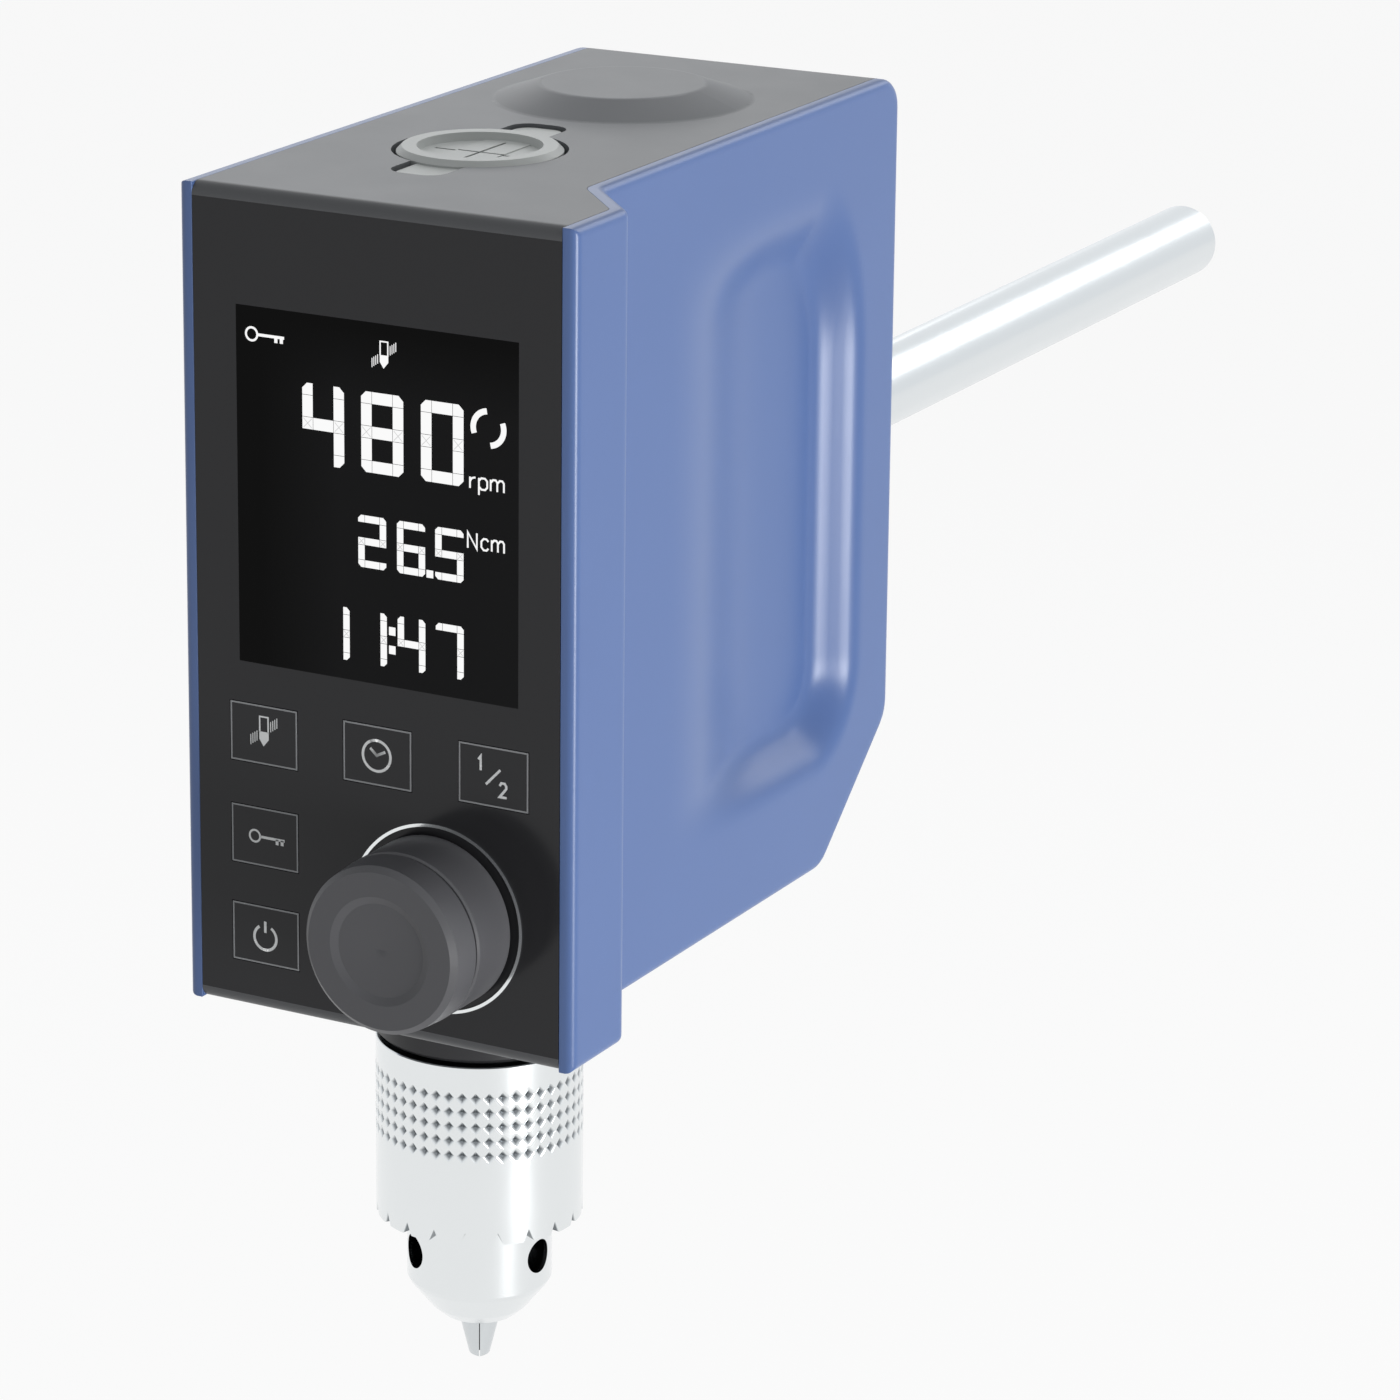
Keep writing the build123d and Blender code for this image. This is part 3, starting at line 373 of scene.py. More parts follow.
# ------------------------------------------------------------------ mesh helpers
def mesh_piece(name, points, faces, material, body, smooth_angle=math.radians(32)):
    """A mesh object from points in mm, shaded smooth up to an angle, riding on a body."""
    mesh = bpy.data.meshes.new(name)
    mesh.from_pydata([(p[0] * MM, p[1] * MM, p[2] * MM) for p in points], [], faces)
    work = bmesh.new()
    work.from_mesh(mesh)
    bmesh.ops.remove_doubles(work, verts=work.verts, dist=1e-7)
    bmesh.ops.recalc_face_normals(work, faces=work.faces)
    work.to_mesh(mesh)
    work.free()
    mesh.shade_smooth()
    mesh.set_sharp_from_angle(angle=smooth_angle)
    mesh.materials.append(material)
    made = bpy.data.objects.new(name, mesh)
    bpy.context.scene.collection.objects.link(made)
    if body:
        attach(made, body)
    return made


def smooth_step(t):
    """0 to 1 with level ends."""
    t = min(max(t, 0.0), 1.0)
    return t * t * t * (t * (6 * t - 15) + 10)


def rounded_path(points, radii, steps=10):
    """A polyline through points whose inner corners are arcs of the given radii."""
    path = [points[0]]
    for before, corner, after, radius in zip(points, points[1:], points[2:], radii):
        into = Vector(before) - Vector(corner)
        out = Vector(after) - Vector(corner)
        half = into.angle(out) / 2
        back = radius / math.tan(half)
        start = Vector(corner) + into.normalized() * back
        end = Vector(corner) + out.normalized() * back
        bisector = (into.normalized() + out.normalized()).normalized()
        middle = Vector(corner) + bisector * (radius / math.sin(half))
        a, b = start - middle, end - middle
        turn = a.angle(b)
        for k in range(steps + 1):
            share = k / steps
            spoke = (a * math.sin((1 - share) * turn) + b * math.sin(share * turn)) / math.sin(turn)
            path.append(tuple(middle + spoke))
    path.append(points[-1])
    return path


def along(path, at):
    """The second coordinate of a path that always moves forward in its first."""
    keys = [p[0] for p in path]
    k = min(max(bisect.bisect_right(keys, at), 1), len(path) - 1)
    (a, va), (b, vb) = path[k - 1], path[k]
    return va + (vb - va) * min(max((at - a) / max(b - a, 1e-9), 0.0), 1.0)


def spread_out(low, high, pitch, edge=(0.0, 0.1, 0.26, 0.48, 0.76, 1.15, 1.6)):
    """Stations from low to high: close together at both ends, evenly spaced between."""
    inner = high - low - 2 * edge[-1]
    count = max(2, round(inner / pitch))
    middle = [low + edge[-1] + inner * k / count for k in range(1, count)]
    return [low + e for e in edge] + middle + [high - e for e in reversed(edge)]


# ------------------------------------------------------------------ side shells
low_line = rounded_path([(FRONT, BOTTOM), (-CUT_Y, BOTTOM), (0, BOTTOM + CUT_Z), (0.001, 0)],
                        (CUT_R, CUT_R))
low_line = [p for p in low_line if p[0] <= 0]
high_line = rounded_path([(FRONT, TOP), (0, TOP), (0.001, 0)], (BACK_R,))
high_line = [p for p in high_line if p[0] <= 0]
outline = low_line + high_line[::-1]
outline.append(outline[0])
step_line = rounded_path([(FRONT, STEP_X), (FRONT + STEP_Y, STEP_X), (FRONT + STEP_Y + STEP_RUN, RIGHT_X),
                          (0, RIGHT_X)], (KNEE_R, HEEL_R))
step_inner = rounded_path([(FRONT, STEP_X - SHELL_T), (FRONT + STEP_Y - 1.2, STEP_X - SHELL_T),
                           (FRONT + STEP_Y + STEP_RUN - 1.2, RIGHT_X - SHELL_T), (0, RIGHT_X - SHELL_T)],
                          (KNEE_R, HEEL_R))


def outline_distance(y, z):
    """Distance from a point to the shell's side outline."""
    best = 9e9
    for (ay, az), (by, bz) in zip(outline, outline[1:]):
        dy, dz = by - ay, bz - az
        size = dy * dy + dz * dz
        if size < 1e-12:
            continue
        t = min(max(((y - ay) * dy + (z - az) * dz) / size, 0.0), 1.0)
        best = min(best, (y - ay - t * dy) ** 2 + (z - az - t * dz) ** 2)
    return math.sqrt(best)


def grip_depth(y, z):
    """Depth of the scooped grip: a long soft ramp from the front, rounded rear and lower walls, soft top."""
    rear = (GRIP_REAR - y) / GRIP_WALL
    end = min((z - GRIP_LOW) / GRIP_WALL, (GRIP_HIGH - z) / GRIP_TOP_WALL)
    inside = GRIP_CORNER - math.hypot(max(GRIP_CORNER - rear, 0), max(GRIP_CORNER - end, 0))
    return GRIP_DEPTH * smooth_step((y - GRIP_FRONT) / GRIP_RAMP) * smooth_step(inside)


def edge_round(t):
    """How far the outer face falls back at distance t from the outline."""
    if t >= EDGE_R:
        return 0.0
    return EDGE_R - math.sqrt(max(EDGE_R ** 2 - (EDGE_R - t) ** 2, 0.0))


def shell_skin(name, node, side, outer_line, inner_line):
    """One moulded side shell as a closed skin: outer face with the grip, rolled rim, inner face."""
    columns = spread_out(FRONT, 0.0, 0.95)
    if side > 0:
        jog = [FRONT + STEP_Y - 2 + 0.3 * k for k in range(int((STEP_RUN + 5) / 0.3))]
        columns = sorted(columns + [c for c in jog if min(abs(c - d) for d in columns) > 0.08])
    outer, inner = [], []
    rows = len(spread_out(0, 100, 1.0))
    pattern = spread_out(0.0, TOP - BOTTOM, (TOP - BOTTOM) / (rows - 13))
    for y in columns:
        low, high = along(low_line, y), along(high_line, y)
        stretch = (high - low - 3.2) / (TOP - BOTTOM - 3.2)
        for k, v in enumerate(pattern):
            if v <= 1.6:
                z = low + v
            elif v >= TOP - BOTTOM - 1.6:
                z = high - (TOP - BOTTOM - v)
            else:
                z = low + 1.6 + (v - 1.6) * stretch
            edge = outline_distance(y, z) if min(z - low, high - z, y - FRONT, -y) < 3.5 or y > -26 else 9.0
            border = y in (columns[0], columns[-1]) or k in (0, len(pattern) - 1)
            dip = grip_depth(y, z)
            x_out = along(outer_line, y) - (EDGE_R if border else edge_round(edge)) - dip
            x_in = min(along(inner_line, y), x_out - 1.8) if dip > 0.4 else along(inner_line, y)
            outer.append((side * x_out, y, z))
            inner.append((side * x_in, y, z))
    nv = len(pattern)
    nu = len(columns)
    ring = [i * nv for i in range(nu)] + [(nu - 1) * nv + j for j in range(1, nv)]
    ring += [i * nv + nv - 1 for i in range(nu - 2, -1, -1)] + [j for j in range(nv - 2, 0, -1)]
    points = outer + inner
    groove = []
    for k in ring:
        x, y, z = inner[k]
        groove.append((x + side * SEAM, y, z))
        low, high = along(low_line, y), along(high_line, y)
        back = min(max(y, FRONT + SEAM), -SEAM)
        points[len(outer) + k] = (x, back, min(max(z, low + SEAM), high - SEAM))
    first = len(points)
    points += groove
    faces = []
    shift = len(outer)
    for i in range(nu - 1):
        for j in range(nv - 1):
            a = i * nv + j
            quad = (a, a + nv, a + nv + 1, a + 1)
            faces.append(quad)
            faces.append(tuple(q + shift for q in reversed(quad)))
    for k in range(len(ring)):
        n = (k + 1) % len(ring)
        faces.append((ring[k], ring[n], first + n, first + k))
        faces.append((first + k, first + n, ring[n] + shift, ring[k] + shift))
    made = mesh_piece(name, points, faces, BLUE, "housing")
    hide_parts(node)
    return made


shell_skin("side_shell_right_skin", "side_shell_right", 1, step_line, step_inner)
shell_skin("side_shell_left_skin", "side_shell_left", -1, [(FRONT, -LEFT_X), (0, -LEFT_X)],
           [(FRONT, -LEFT_X - SHELL_T), (0, -LEFT_X - SHELL_T)])


# ------------------------------------------------------------------ chuck sleeve
def tooth_lift(turn):
    """Height of the tooth gap in the lower edge at an angle."""
    pitch = math.tau / TEETH
    off = (turn - math.radians(-49.8)) / pitch
    off = abs(off - round(off)) * pitch * SLEEVE_R
    return TOOTH_H * max(0.0, 1 - off / (TOOTH_GAP / 2))


def pressed_knurl(target, material):
    """Press rows of pyramid pits into the outer wall of a lathe-turned piece, by rule."""
    tree = bpy.data.node_groups.new("pressed_knurl", "GeometryNodeTree")
    tree.interface.new_socket("Geometry", in_out="INPUT", socket_type="NodeSocketGeometry")
    sizes = {"Axis Y": SPINDLE_Y * MM, "Wall Radius": SLEEVE_R * MM, "Pits Round": float(KNURLS),
             "Phase": 0.78, "Band Top": KNURL_HIGH * MM, "Row Height": KNURL_RISE * MM,
             "Rows": float(KNURL_ROWS), "Pit Reach": KNURL_REACH, "Depth": KNURL_DEPTH * MM}
    keys = {name: tree.interface.new_socket(name, in_out="INPUT", socket_type="NodeSocketFloat").identifier
            for name in sizes}
    tree.interface.new_socket("Geometry", in_out="OUTPUT", socket_type="NodeSocketGeometry")
    source = add_node(tree, "NodeGroupInput")

    def sums(operation, *values, clamp=False):
        return add_node(tree, "ShaderNodeMath", {"operation": operation, "use_clamp": clamp},
                        dict(enumerate(values))).outputs[0]

    size = source.outputs
    place = add_node(tree, "GeometryNodeInputPosition").outputs[0]
    parts = add_node(tree, "ShaderNodeSeparateXYZ", links={0: place})
    x, z = parts.outputs[0], parts.outputs[2]
    y = sums("SUBTRACT", parts.outputs[1], size["Axis Y"])
    radius = sums("SQRT", sums("ADD", sums("MULTIPLY", x, x), sums("MULTIPLY", y, y)))
    turn = sums("DIVIDE", sums("ARCTAN2", y, x), math.tau)
    across = sums("ADD", sums("MULTIPLY", turn, size["Pits Round"]), size["Phase"])
    down = sums("DIVIDE", sums("SUBTRACT", size["Band Top"], z), size["Row Height"])
    u = sums("ABSOLUTE", sums("SUBTRACT", sums("FLOORED_MODULO", across, 1.0), 0.5))
    v = sums("ABSOLUTE", sums("SUBTRACT", sums("FLOORED_MODULO", down, 1.0), 0.5))
    pit = sums("SUBTRACT", 1.0, sums("DIVIDE", sums("ADD", u, v), size["Pit Reach"]), clamp=True)
    in_band = sums("MULTIPLY", sums("GREATER_THAN", down, 0.0), sums("LESS_THAN", down, size["Rows"]))
    on_wall = sums("GREATER_THAN", radius, sums("SUBTRACT", size["Wall Radius"], 0.00002))
    cut = sums("MULTIPLY", sums("MULTIPLY", pit, size["Depth"]), sums("MULTIPLY", in_band, on_wall))
    share = sums("DIVIDE", cut, sums("MULTIPLY", radius, -1.0))
    inward = add_node(tree, "ShaderNodeCombineXYZ", links={
        0: sums("MULTIPLY", x, share), 1: sums("MULTIPLY", y, share)})
    moved = add_node(tree, "GeometryNodeSetPosition", links={
        "Geometry": size["Geometry"], "Offset": inward.outputs[0]})
    real = add_node(tree, "GeometryNodeRealizeInstances", links={"Geometry": moved.outputs[0]})
    coat = add_node(tree, "GeometryNodeSetMaterial", links={
        "Geometry": real.outputs[0], "Material": material})
    add_node(tree, "NodeGroupOutput", links={"Geometry": coat.outputs[0]})
    rule = target.modifiers.new("pressed_knurl", "NODES")
    rule.node_group = tree
    for name, value in sizes.items():
        rule[keys[name]] = value
    done = bpy.data.meshes.new_from_object(target.evaluated_get(bpy.context.evaluated_depsgraph_get()))
    target.modifiers.remove(rule)
    target.data = done


def knurled_sleeve():
    """The chuck's key sleeve: knurled band, bevel teeth at the lower edge, nut seat inside."""
    columns = KNURLS * 16
    low = KNURL_HIGH - KNURL_ROWS * KNURL_RISE
    steps = KNURL_ROWS * 14
    rows = [SLEEVE_TOP - 0.15, SLEEVE_TOP - 1.4, SLEEVE_TOP - 2.6]
    rows += [KNURL_HIGH - (KNURL_HIGH - low) * k / steps for k in range(steps + 1)]
    rows += [low - 1.5, low - 4, low - 7, SLEEVE_LOW + 2.4]
    profile = [(13.65, SLEEVE_TOP, 0), (SLEEVE_R - 0.15, SLEEVE_TOP, 0)]
    profile += [(SLEEVE_R, z, 0) for z in rows]
    profile += [(SLEEVE_R, SLEEVE_LOW, 1), (12.1, SLEEVE_LOW, 1), (11.05, SLEEVE_LOW, 0),
                (11.05, SLEEVE_LOW + 1.7, 0), (13.0, SLEEVE_LOW + 1.7, 0), (13.0, SLEEVE_LOW + 6.2, 0),
                (13.65, SLEEVE_LOW + 6.2, 0)]
    points = []
    for i in range(columns):
        turn = math.tau * i / columns
        lift = tooth_lift(turn)
        for r, z, toothed in profile:
            points.append((r * math.cos(turn), SPINDLE_Y + r * math.sin(turn), z + lift * toothed))
    size = len(profile)
    faces = []
    for i in range(columns):
        a, b = i * size, (i + 1) % columns * size
        for j in range(size):
            n = (j + 1) % size
            faces.append((a + j, a + n, b + n, b + j))
    made = mesh_piece("chuck_sleeve_knurled", points, faces, CHROME, None)
    pressed_knurl(made, CHROME)
    made.data.set_sharp_from_angle(angle=math.radians(24))
    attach(made, "sleeve")
    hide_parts("chuck_sleeve")


knurled_sleeve()


# ------------------------------------------------------------------ flat shapes on the front
class Print:
    """Thin raised shapes on the front plane: polygons in x, z with a small thickness."""

    def __init__(self, lift, thick):
        self.near = FRONT - lift
        self.far = FRONT - lift + thick
        self.points = []
        self.faces = []

    def patch(self, corners):
        """A convex polygon."""
        n = len(corners)
        base = len(self.points)
        self.points += [(x, self.near, z) for x, z in corners]
        self.points += [(x, self.far, z) for x, z in corners]
        self.faces.append(tuple(range(base, base + n)))
        self.faces.append(tuple(range(base + 2 * n - 1, base + n - 1, -1)))
        for k in range(n):
            m = (k + 1) % n
            self.faces.append((base + k, base + n + k, base + n + m, base + m))

    def stroke(self, path, width, closed=False):
        """A line of constant width through points, with mitred corners."""
        n = len(path)
        rails = []
        for k in range(n):
            here = Vector(path[k])
            before = Vector(path[k - 1]) if closed or k else None
            after = Vector(path[(k + 1) % n]) if closed or k < n - 1 else None
            a = (here - before).normalized() if before else (after - here).normalized()
            b = (after - here).normalized() if after else a
            bend = Vector((-(a + b).y, (a + b).x)).normalized()
            reach = width / 2 / max(abs(bend.dot(Vector((-a.y, a.x)))), 0.35)
            rails.append((tuple(here + bend * reach), tuple(here - bend * reach)))
        for k in range(n if closed else n - 1):
            m = (k + 1) % n
            self.patch([rails[k][1], rails[m][1], rails[m][0], rails[k][0]])

    def ring(self, x, z, r, width, start=0.0, sweep=360.0):
        """An arc of constant width; angles run clockwise from the top."""
        count = max(8, int(sweep / 7.5))
        arc = [math.radians(start + sweep * k / count) for k in range(count + (sweep < 360))]
        self.stroke([(x + r * math.sin(t), z + r * math.cos(t)) for t in arc], width, sweep >= 360)

    def piece(self, name, material, body):
        """Make it an object on a body."""
        return mesh_piece(name, self.points, self.faces, material, body, math.radians(20))


# strokes of the few small letters in the units, on a grid 1 wide and 1 high at x-height
GLYPHS = {
    "r": (0.55, [[(0, 0), (0, 1)], [(0, 0.6), (0.16, 0.9), (0.45, 1.0)]]),
    "p": (0.78, [[(0, -0.5), (0, 1)], [(0, 0.75), (0.2, 1), (0.5, 1), (0.68, 0.78), (0.68, 0.22), (0.5, 0),
                                     (0.2, 0), (0, 0.25)]]),
    "m": (1.2, [[(0, 0), (0, 1)], [(0, 0.72), (0.2, 1), (0.42, 1), (0.54, 0.8), (0.54, 0)],
                [(0.54, 0.72), (0.74, 1), (0.96, 1), (1.08, 0.8), (1.08, 0)]]),
    "N": (1.0, [[(0, 0), (0, 1.4), (0.8, 0), (0.8, 1.4)]]),
    "c": (0.72, [[(0.62, 0.8), (0.46, 1), (0.2, 1), (0, 0.75), (0, 0.25), (0.2, 0), (0.46, 0), (0.62, 0.2)]]),
    "1": (0.5, [[(0.0, 1.05), (0.25, 1.4), (0.25, 0)]]),
    "2": (0.9, [[(0, 1.1), (0.18, 1.4), (0.55, 1.4), (0.72, 1.15), (0.72, 0.9), (0, 0), (0.75, 0)]]),
}


def write(print_, text, x, z, high, width, squeeze=1.0):
    """Write a unit or number with its lower left at x, z and this x-height."""
    for letter in text:
        advance, lines = GLYPHS[letter]
        for line in lines:
            print_.stroke([(x + px * high * squeeze, z + pz * high) for px, pz in line], width)
        x += (advance * squeeze + 0.22) * high


SEGMENTS = {"0": "abcdef", "1": "bc", "2": "abged", "4": "fgbc", "5": "afgcd", "6": "afgedc", "7": "abc",
            "8": "abcdefg"}


def seven_segment(lit, joints, digit, x, z, wide, high, bar):
    """One digit from bars with chamfered outer corners and hairline joints."""
    gap = 0.07
    cut = bar * 0.45
    mid = z + high / 2
    x1, z1 = x + wide, z + high
    shapes = {
        "a": [(x + bar + gap, z1 - bar), (x1 - bar - gap, z1 - bar),
              (x1 - bar - gap, z1), (x + bar + gap, z1)],
        "d": [(x + bar + gap, z), (x1 - bar - gap, z), (x1 - bar - gap, z + bar), (x + bar + gap, z + bar)],
        "g": [(x + bar + gap, mid - bar / 2), (x1 - bar - gap, mid - bar / 2),
              (x1 - bar - gap, mid + bar / 2), (x + bar + gap, mid + bar / 2)],
        "f": [(x, mid + bar / 2 + gap), (x + bar, mid + bar / 2 + gap), (x + bar, z1 - bar - gap),
              (x, z1 - bar - gap)],
        "b": [(x1 - bar, mid + bar / 2 + gap), (x1, mid + bar / 2 + gap), (x1, z1 - bar - gap),
              (x1 - bar, z1 - bar - gap)],
        "e": [(x, z + bar + gap), (x + bar, z + bar + gap), (x + bar, mid - bar / 2 - gap),
              (x, mid - bar / 2 - gap)],
        "c": [(x1 - bar, z + bar + gap), (x1, z + bar + gap), (x1, mid - bar / 2 - gap),
              (x1 - bar, mid - bar / 2 - gap)],
    }
    used = SEGMENTS[digit]
    for key in used:
        lit.patch(shapes[key])
    corners = {
        "tl": ("af", [(x, z1 - bar), (x + bar, z1 - bar), (x + bar, z1), (x + cut, z1), (x, z1 - cut)]),
        "tr": ("ab", [(x1 - bar, z1 - bar), (x1, z1 - bar), (x1, z1 - cut), (x1 - cut, z1), (x1 - bar, z1)]),
        "bl": ("de", [(x, z + cut), (x + cut, z), (x + bar, z), (x + bar, z + bar), (x, z + bar)]),
        "br": ("dc", [(x1 - bar, z), (x1 - cut, z), (x1, z + cut), (x1, z + bar), (x1 - bar, z + bar)]),
    }
    for keys, shape in corners.values():
        if any(k in used for k in keys):
            lit.patch(shape)
    for keys, left in (("ef", x), ("bc", x1 - bar)):
        if any(k in used for k in keys):
            low, high_ = mid - bar / 2, mid + bar / 2
            centre = (left + bar / 2, mid)
            box_ = [(left, low), (left + bar, low), (left + bar, high_), (left, high_)]
            lit.patch(box_)
            for a, b in ((box_[0], box_[2]), (box_[1], box_[3])):
                joints.stroke([(centre[0] + (a[0] - centre[0]) * 0.8, centre[1] + (a[1] - centre[1]) * 0.8),
                               (centre[0] + (b[0] - centre[0]) * 0.8,
                                 centre[1] + (b[1] - centre[1]) * 0.8)], 0.1)


def key_symbol(print_, x, z, size):
    """A key: ring, shaft and two bits; x, z is its middle."""
    print_.ring(x - size * 0.33, z, size * 0.145, size * 0.05)
    print_.stroke([(x - size * 0.17, z), (x + size * 0.5, z)], size * 0.065)
    print_.stroke([(x + size * 0.29, z), (x + size * 0.29, z - size * 0.13)], size * 0.08)
    print_.stroke([(x + size * 0.43, z), (x + size * 0.43, z - size * 0.13)], size * 0.08)


def shaking_tube(print_, x, z, size):
    """A test tube held tip down, with motion lines on two sides."""
    w, h = size * 0.17, size * 0.5
    print_.stroke([(x - w, z), (x - w, z + h), (x + w * 0.8, z + h), (x + w * 0.8, z)], size * 0.05)
    print_.patch([(x - w * 1.1, z + size * 0.02), (x - w * 1.1, z - h * 0.45), (x - w * 0.2, z - h * 0.9),
                  (x + w * 0.9, z - h * 0.45), (x + w * 0.9, z + size * 0.02)])
    for k in range(4):
        a = x + w * 1.35 + k * size * 0.075
        print_.stroke([(a, z + h * 0.1 + k * size * 0.05), (a, z + h * 0.75 + k * size * 0.05)], size * 0.03)
        b = x - w * 1.6 - k * size * 0.075
        print_.stroke([(b, z + h * 0.05 - k * size * 0.05), (b, z - h * 0.6 - k * size * 0.05)], size * 0.03)


# ------------------------------------------------------------------ display
segments = Print(0.02, 0.015)
joints = Print(0.028, 0.006)
for digit, x in (("4", -5.9), ("8", 3.62), ("0", 13.18)):
    seven_segment(segments, joints, digit, x, 26.15, 6.75, 11.5, 1.68)
for digit, x in (("2", 3.05), ("6", 9.3), ("5", 15.42)):
    seven_segment(segments, joints, digit, x, 12.4, 4.5, 7.5, 1.02)
for digit, x in (("1", -2.9), ("1", 3.15), ("4", 9.36), ("7", 15.5)):
    seven_segment(segments, joints, digit, x, -1.5, 4.45, 7.65, 1.02)
segments.patch([(14.02, 12.4), (15.1, 12.4), (15.1, 13.5), (14.02, 13.5)])
for z in (3.78, 1.07):
    segments.patch([(7.95, z - 0.6), (9.0, z - 0.6), (9.0, z + 0.6), (7.95, z + 0.6)])
segments.ring(23.85, 34.9, 2.4, 0.85, -112, 106)
segments.ring(23.85, 34.9, 2.4, 0.85, 66, 106)
write(segments, "rpm", 20.95, 26.15, 1.6, 0.27, 1.2)
write(segments, "Ncm", 20.6, 17.6, 1.6, 0.27, 1.12)
key_symbol(segments, -12.0, 43.5, 6.4)
shaking_tube(segments, 7.4, 43.0, 4.0)
segments.piece("display_segments", LIT, "housing")
joints.piece("display_joints", UNLIT, "housing")

# ------------------------------------------------------------------ keys
for key in ("stir", "timer", "display", "lock", "power"):
    low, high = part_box("key_" + key)
    x, z = (low.x + high.x) / 2 / MM, (low.z + high.z) / 2 / MM
    half_w, half_h = (high.x - low.x) / 2 / MM - 0.13, (high.z - low.z) / 2 / MM - 0.13
    border = Print(0.02, 0.015)
    border.stroke([(x - half_w, z - half_h), (x + half_w, z - half_h), (x + half_w, z + half_h),
                   (x - half_w, z + half_h)], 0.24, True)
    border.piece("key_" + key + "_border", INK, "key_" + key)
    sign = Print(0.02, 0.015)
    if key == "stir":
        shaking_tube(sign, x + 0.1, z + 0.4, 4.6)
    elif key == "timer":
        sign.ring(x - 0.1, z, 2.25, 0.4)
        sign.stroke([(x - 1.15, z + 1.0), (x - 0.1, z + 0.05), (x + 1.3, z + 0.75)], 0.4)
    elif key == "display":
        write(sign, "1", x - 2.4, z + 0.7, 1.45, 0.36)
        sign.stroke([(x - 1.2, z - 1.2), (x + 1.1, z + 1.2)], 0.36)
        write(sign, "2", x + 1.0, z - 2.7, 1.45, 0.36)
    elif key == "lock":
        key_symbol(sign, x + 0.3, z, 6.0)
    else:
        sign.ring(x - 0.1, z - 0.35, 1.85, 0.42, 32, 296)
        sign.stroke([(x - 0.1, z + 2.1), (x - 0.1, z + 0.4)], 0.42)
    sign.piece("key_" + key + "_symbol", INK_WHITE, "key_" + key)

# ------------------------------------------------------------------ floor, backdrop and light
FLOOR_DROP = 0.30
FLOOR_HALF = 4
WORLD_FILL = 0.38


def pale_ground():
    """Pale floor that reads as white to the camera and in reflections, and keeps a soft shadow."""
    made = bpy.data.materials.new("floor_pale")
    made.use_nodes = True
    tree = made.node_tree
    shader = tree.nodes["Principled BSDF"]
    shader.inputs["Base Color"].default_value = colour("#F7F7F7")
    shader.inputs["Roughness"].default_value = 0.9
    glow = add_node(tree, "ShaderNodeEmission", links={"Color": colour("#FFFFFF"), "Strength": 1.0})
    path = add_node(tree, "ShaderNodeLightPath")
    direct = add_node(tree, "ShaderNodeMath", {"operation": "MAXIMUM"}, {
        0: path.outputs["Is Camera Ray"], 1: path.outputs["Is Transmission Ray"]})
    seen = add_node(tree, "ShaderNodeMath", {"operation": "MULTIPLY"}, {0: direct.outputs["Value"], 1: 0.9})
    either = add_node(tree, "ShaderNodeMath", {"operation": "MAXIMUM"}, {
        0: seen.outputs["Value"], 1: path.outputs["Is Glossy Ray"]})
    mix = add_node(tree, "ShaderNodeMixShader", links={
        0: either.outputs["Value"], 1: shader.outputs["BSDF"], 2: glow.outputs["Emission"]})
    tree.links.new(mix.outputs["Shader"], tree.nodes["Material Output"].inputs["Surface"])
    return made


def plane_piece(name, corners, material):
    """One flat face."""
    mesh = bpy.data.meshes.new(name)
    mesh.from_pydata([tuple(c) for c in corners], [], [(0, 1, 2, 3)])
    made = bpy.data.objects.new(name, mesh)
    mesh.materials.append(material)
    bpy.context.scene.collection.objects.link(made)
    return made


floor_z = cad_low.z - FLOOR_DROP
floor = plane_piece("floor", [(-FLOOR_HALF, -FLOOR_HALF, floor_z), (FLOOR_HALF, -FLOOR_HALF, floor_z),
                              (FLOOR_HALF, FLOOR_HALF, floor_z), (-FLOOR_HALF, FLOOR_HALF, floor_z)],
                    pale_ground())

world = bpy.data.worlds.new("studio")
bpy.context.scene.world = world
world.use_nodes = True
world_tree = world.node_tree
background = world_tree.nodes["Background"]
background.inputs["Color"].default_value = colour("#F4F6F8")
world_path = add_node(world_tree, "ShaderNodeLightPath")
world_seen = add_node(world_tree, "ShaderNodeMath", {"operation": "MAXIMUM"}, {
    0: world_path.outputs["Is Camera Ray"], 1: world_path.outputs["Is Glossy Ray"]})
world_clear = add_node(world_tree, "ShaderNodeMath", {"operation": "MAXIMUM"}, {
    0: world_seen.outputs["Value"], 1: world_path.outputs["Is Transmission Ray"]})
world_level = add_node(world_tree, "ShaderNodeMapRange", links={
    "Value": world_clear.outputs["Value"], "To Min": WORLD_FILL, "To Max": 1.0})
world_tree.links.new(world_level.outputs["Result"], background.inputs["Strength"])


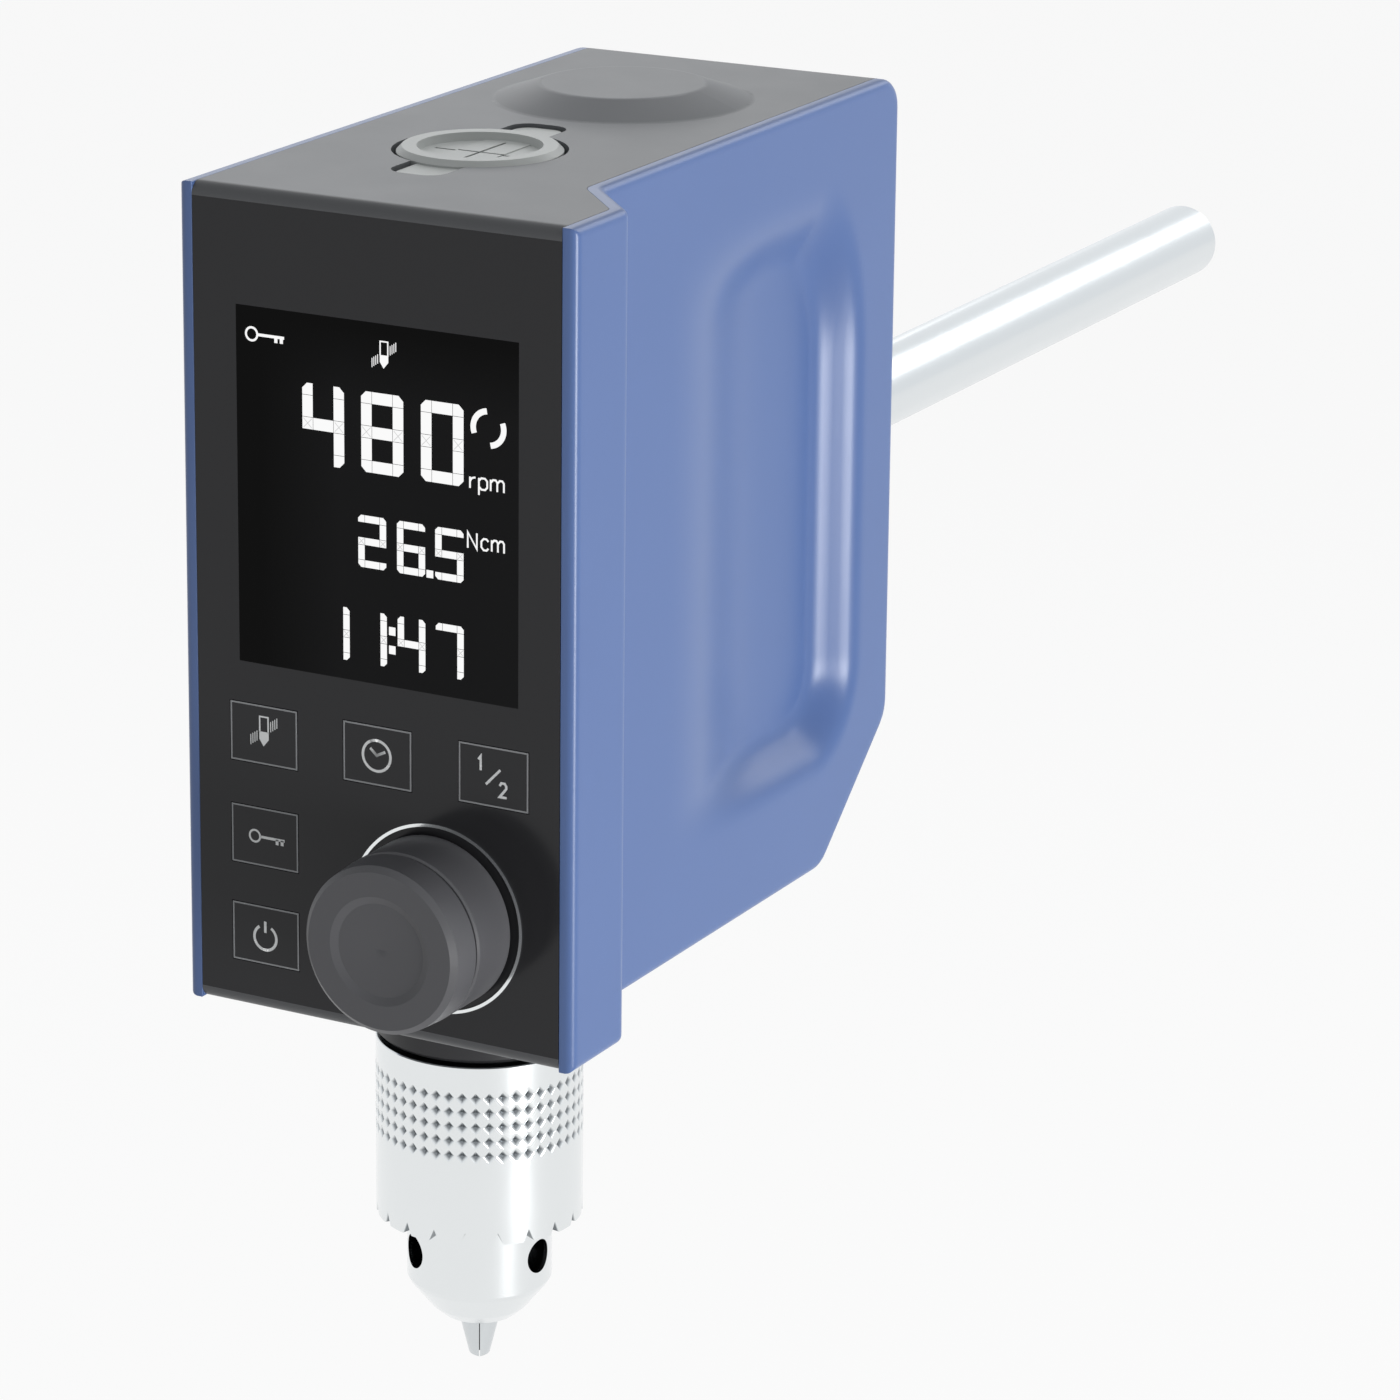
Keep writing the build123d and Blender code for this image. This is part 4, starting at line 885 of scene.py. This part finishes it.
def soft_light(name, place, aim, size, power, tint="#FFFFFF"):
    """A square soft box."""
    lamp = bpy.data.lights.new(name, "AREA")
    lamp.shape = "RECTANGLE"
    lamp.size = size[0]
    lamp.size_y = size[1]
    lamp.energy = power
    lamp.color = colour(tint)[:3]
    made = bpy.data.objects.new(name, lamp)
    made.location = place
    made.rotation_euler = (Vector(aim) - Vector(place)).to_track_quat("-Z", "Y").to_euler()
    bpy.context.scene.collection.objects.link(made)
    return made


LIGHT_AIM = (0, -0.06, 0)
soft_light("right_box", (1.15, -0.39, -0.19), LIGHT_AIM, (0.4, 0.42), 10)
soft_light("back_right_box", (0.46, 0.98, 0.68), LIGHT_AIM, (0.9, 0.6), 3.2)
soft_light("back_left_box", (-0.78, 0.84, 0.5), LIGHT_AIM, (0.8, 0.6), 1.0)
soft_light("top_box", (0.1, 0.25, 1.2), LIGHT_AIM, (0.7, 0.7), 2.0)

# ------------------------------------------------------------------ camera
VIEW_TURN = math.radians(31.168)
VIEW_RISE = math.radians(15.520)
VIEW_ROLL = math.radians(-0.273)
VIEW_DISTANCE = 0.76342
LENS = 142.155
SHIFT = (0.23136, -0.13915)
AIM = Vector((WINDOW.x, PANEL_Y, WINDOW.z))

back = Vector((math.sin(VIEW_TURN) * math.cos(VIEW_RISE), -math.cos(VIEW_TURN) * math.cos(VIEW_RISE),
               math.sin(VIEW_RISE)))
across = Vector((math.cos(VIEW_TURN), math.sin(VIEW_TURN), 0))
upward = back.cross(across)
turned = Matrix((across, upward, back)).transposed() @ Matrix.Rotation(VIEW_ROLL, 3, "Z")
lens = bpy.data.cameras.new("camera")
lens.lens = LENS
lens.shift_x, lens.shift_y = SHIFT
lens.clip_start = 0.05
lens.clip_end = 20
camera = bpy.data.objects.new("camera", lens)
camera.matrix_world = Matrix.Translation(AIM + back * VIEW_DISTANCE) @ turned.to_4x4()
bpy.context.scene.collection.objects.link(camera)
bpy.context.scene.camera = camera
bpy.context.scene.view_settings.view_transform = "Standard"
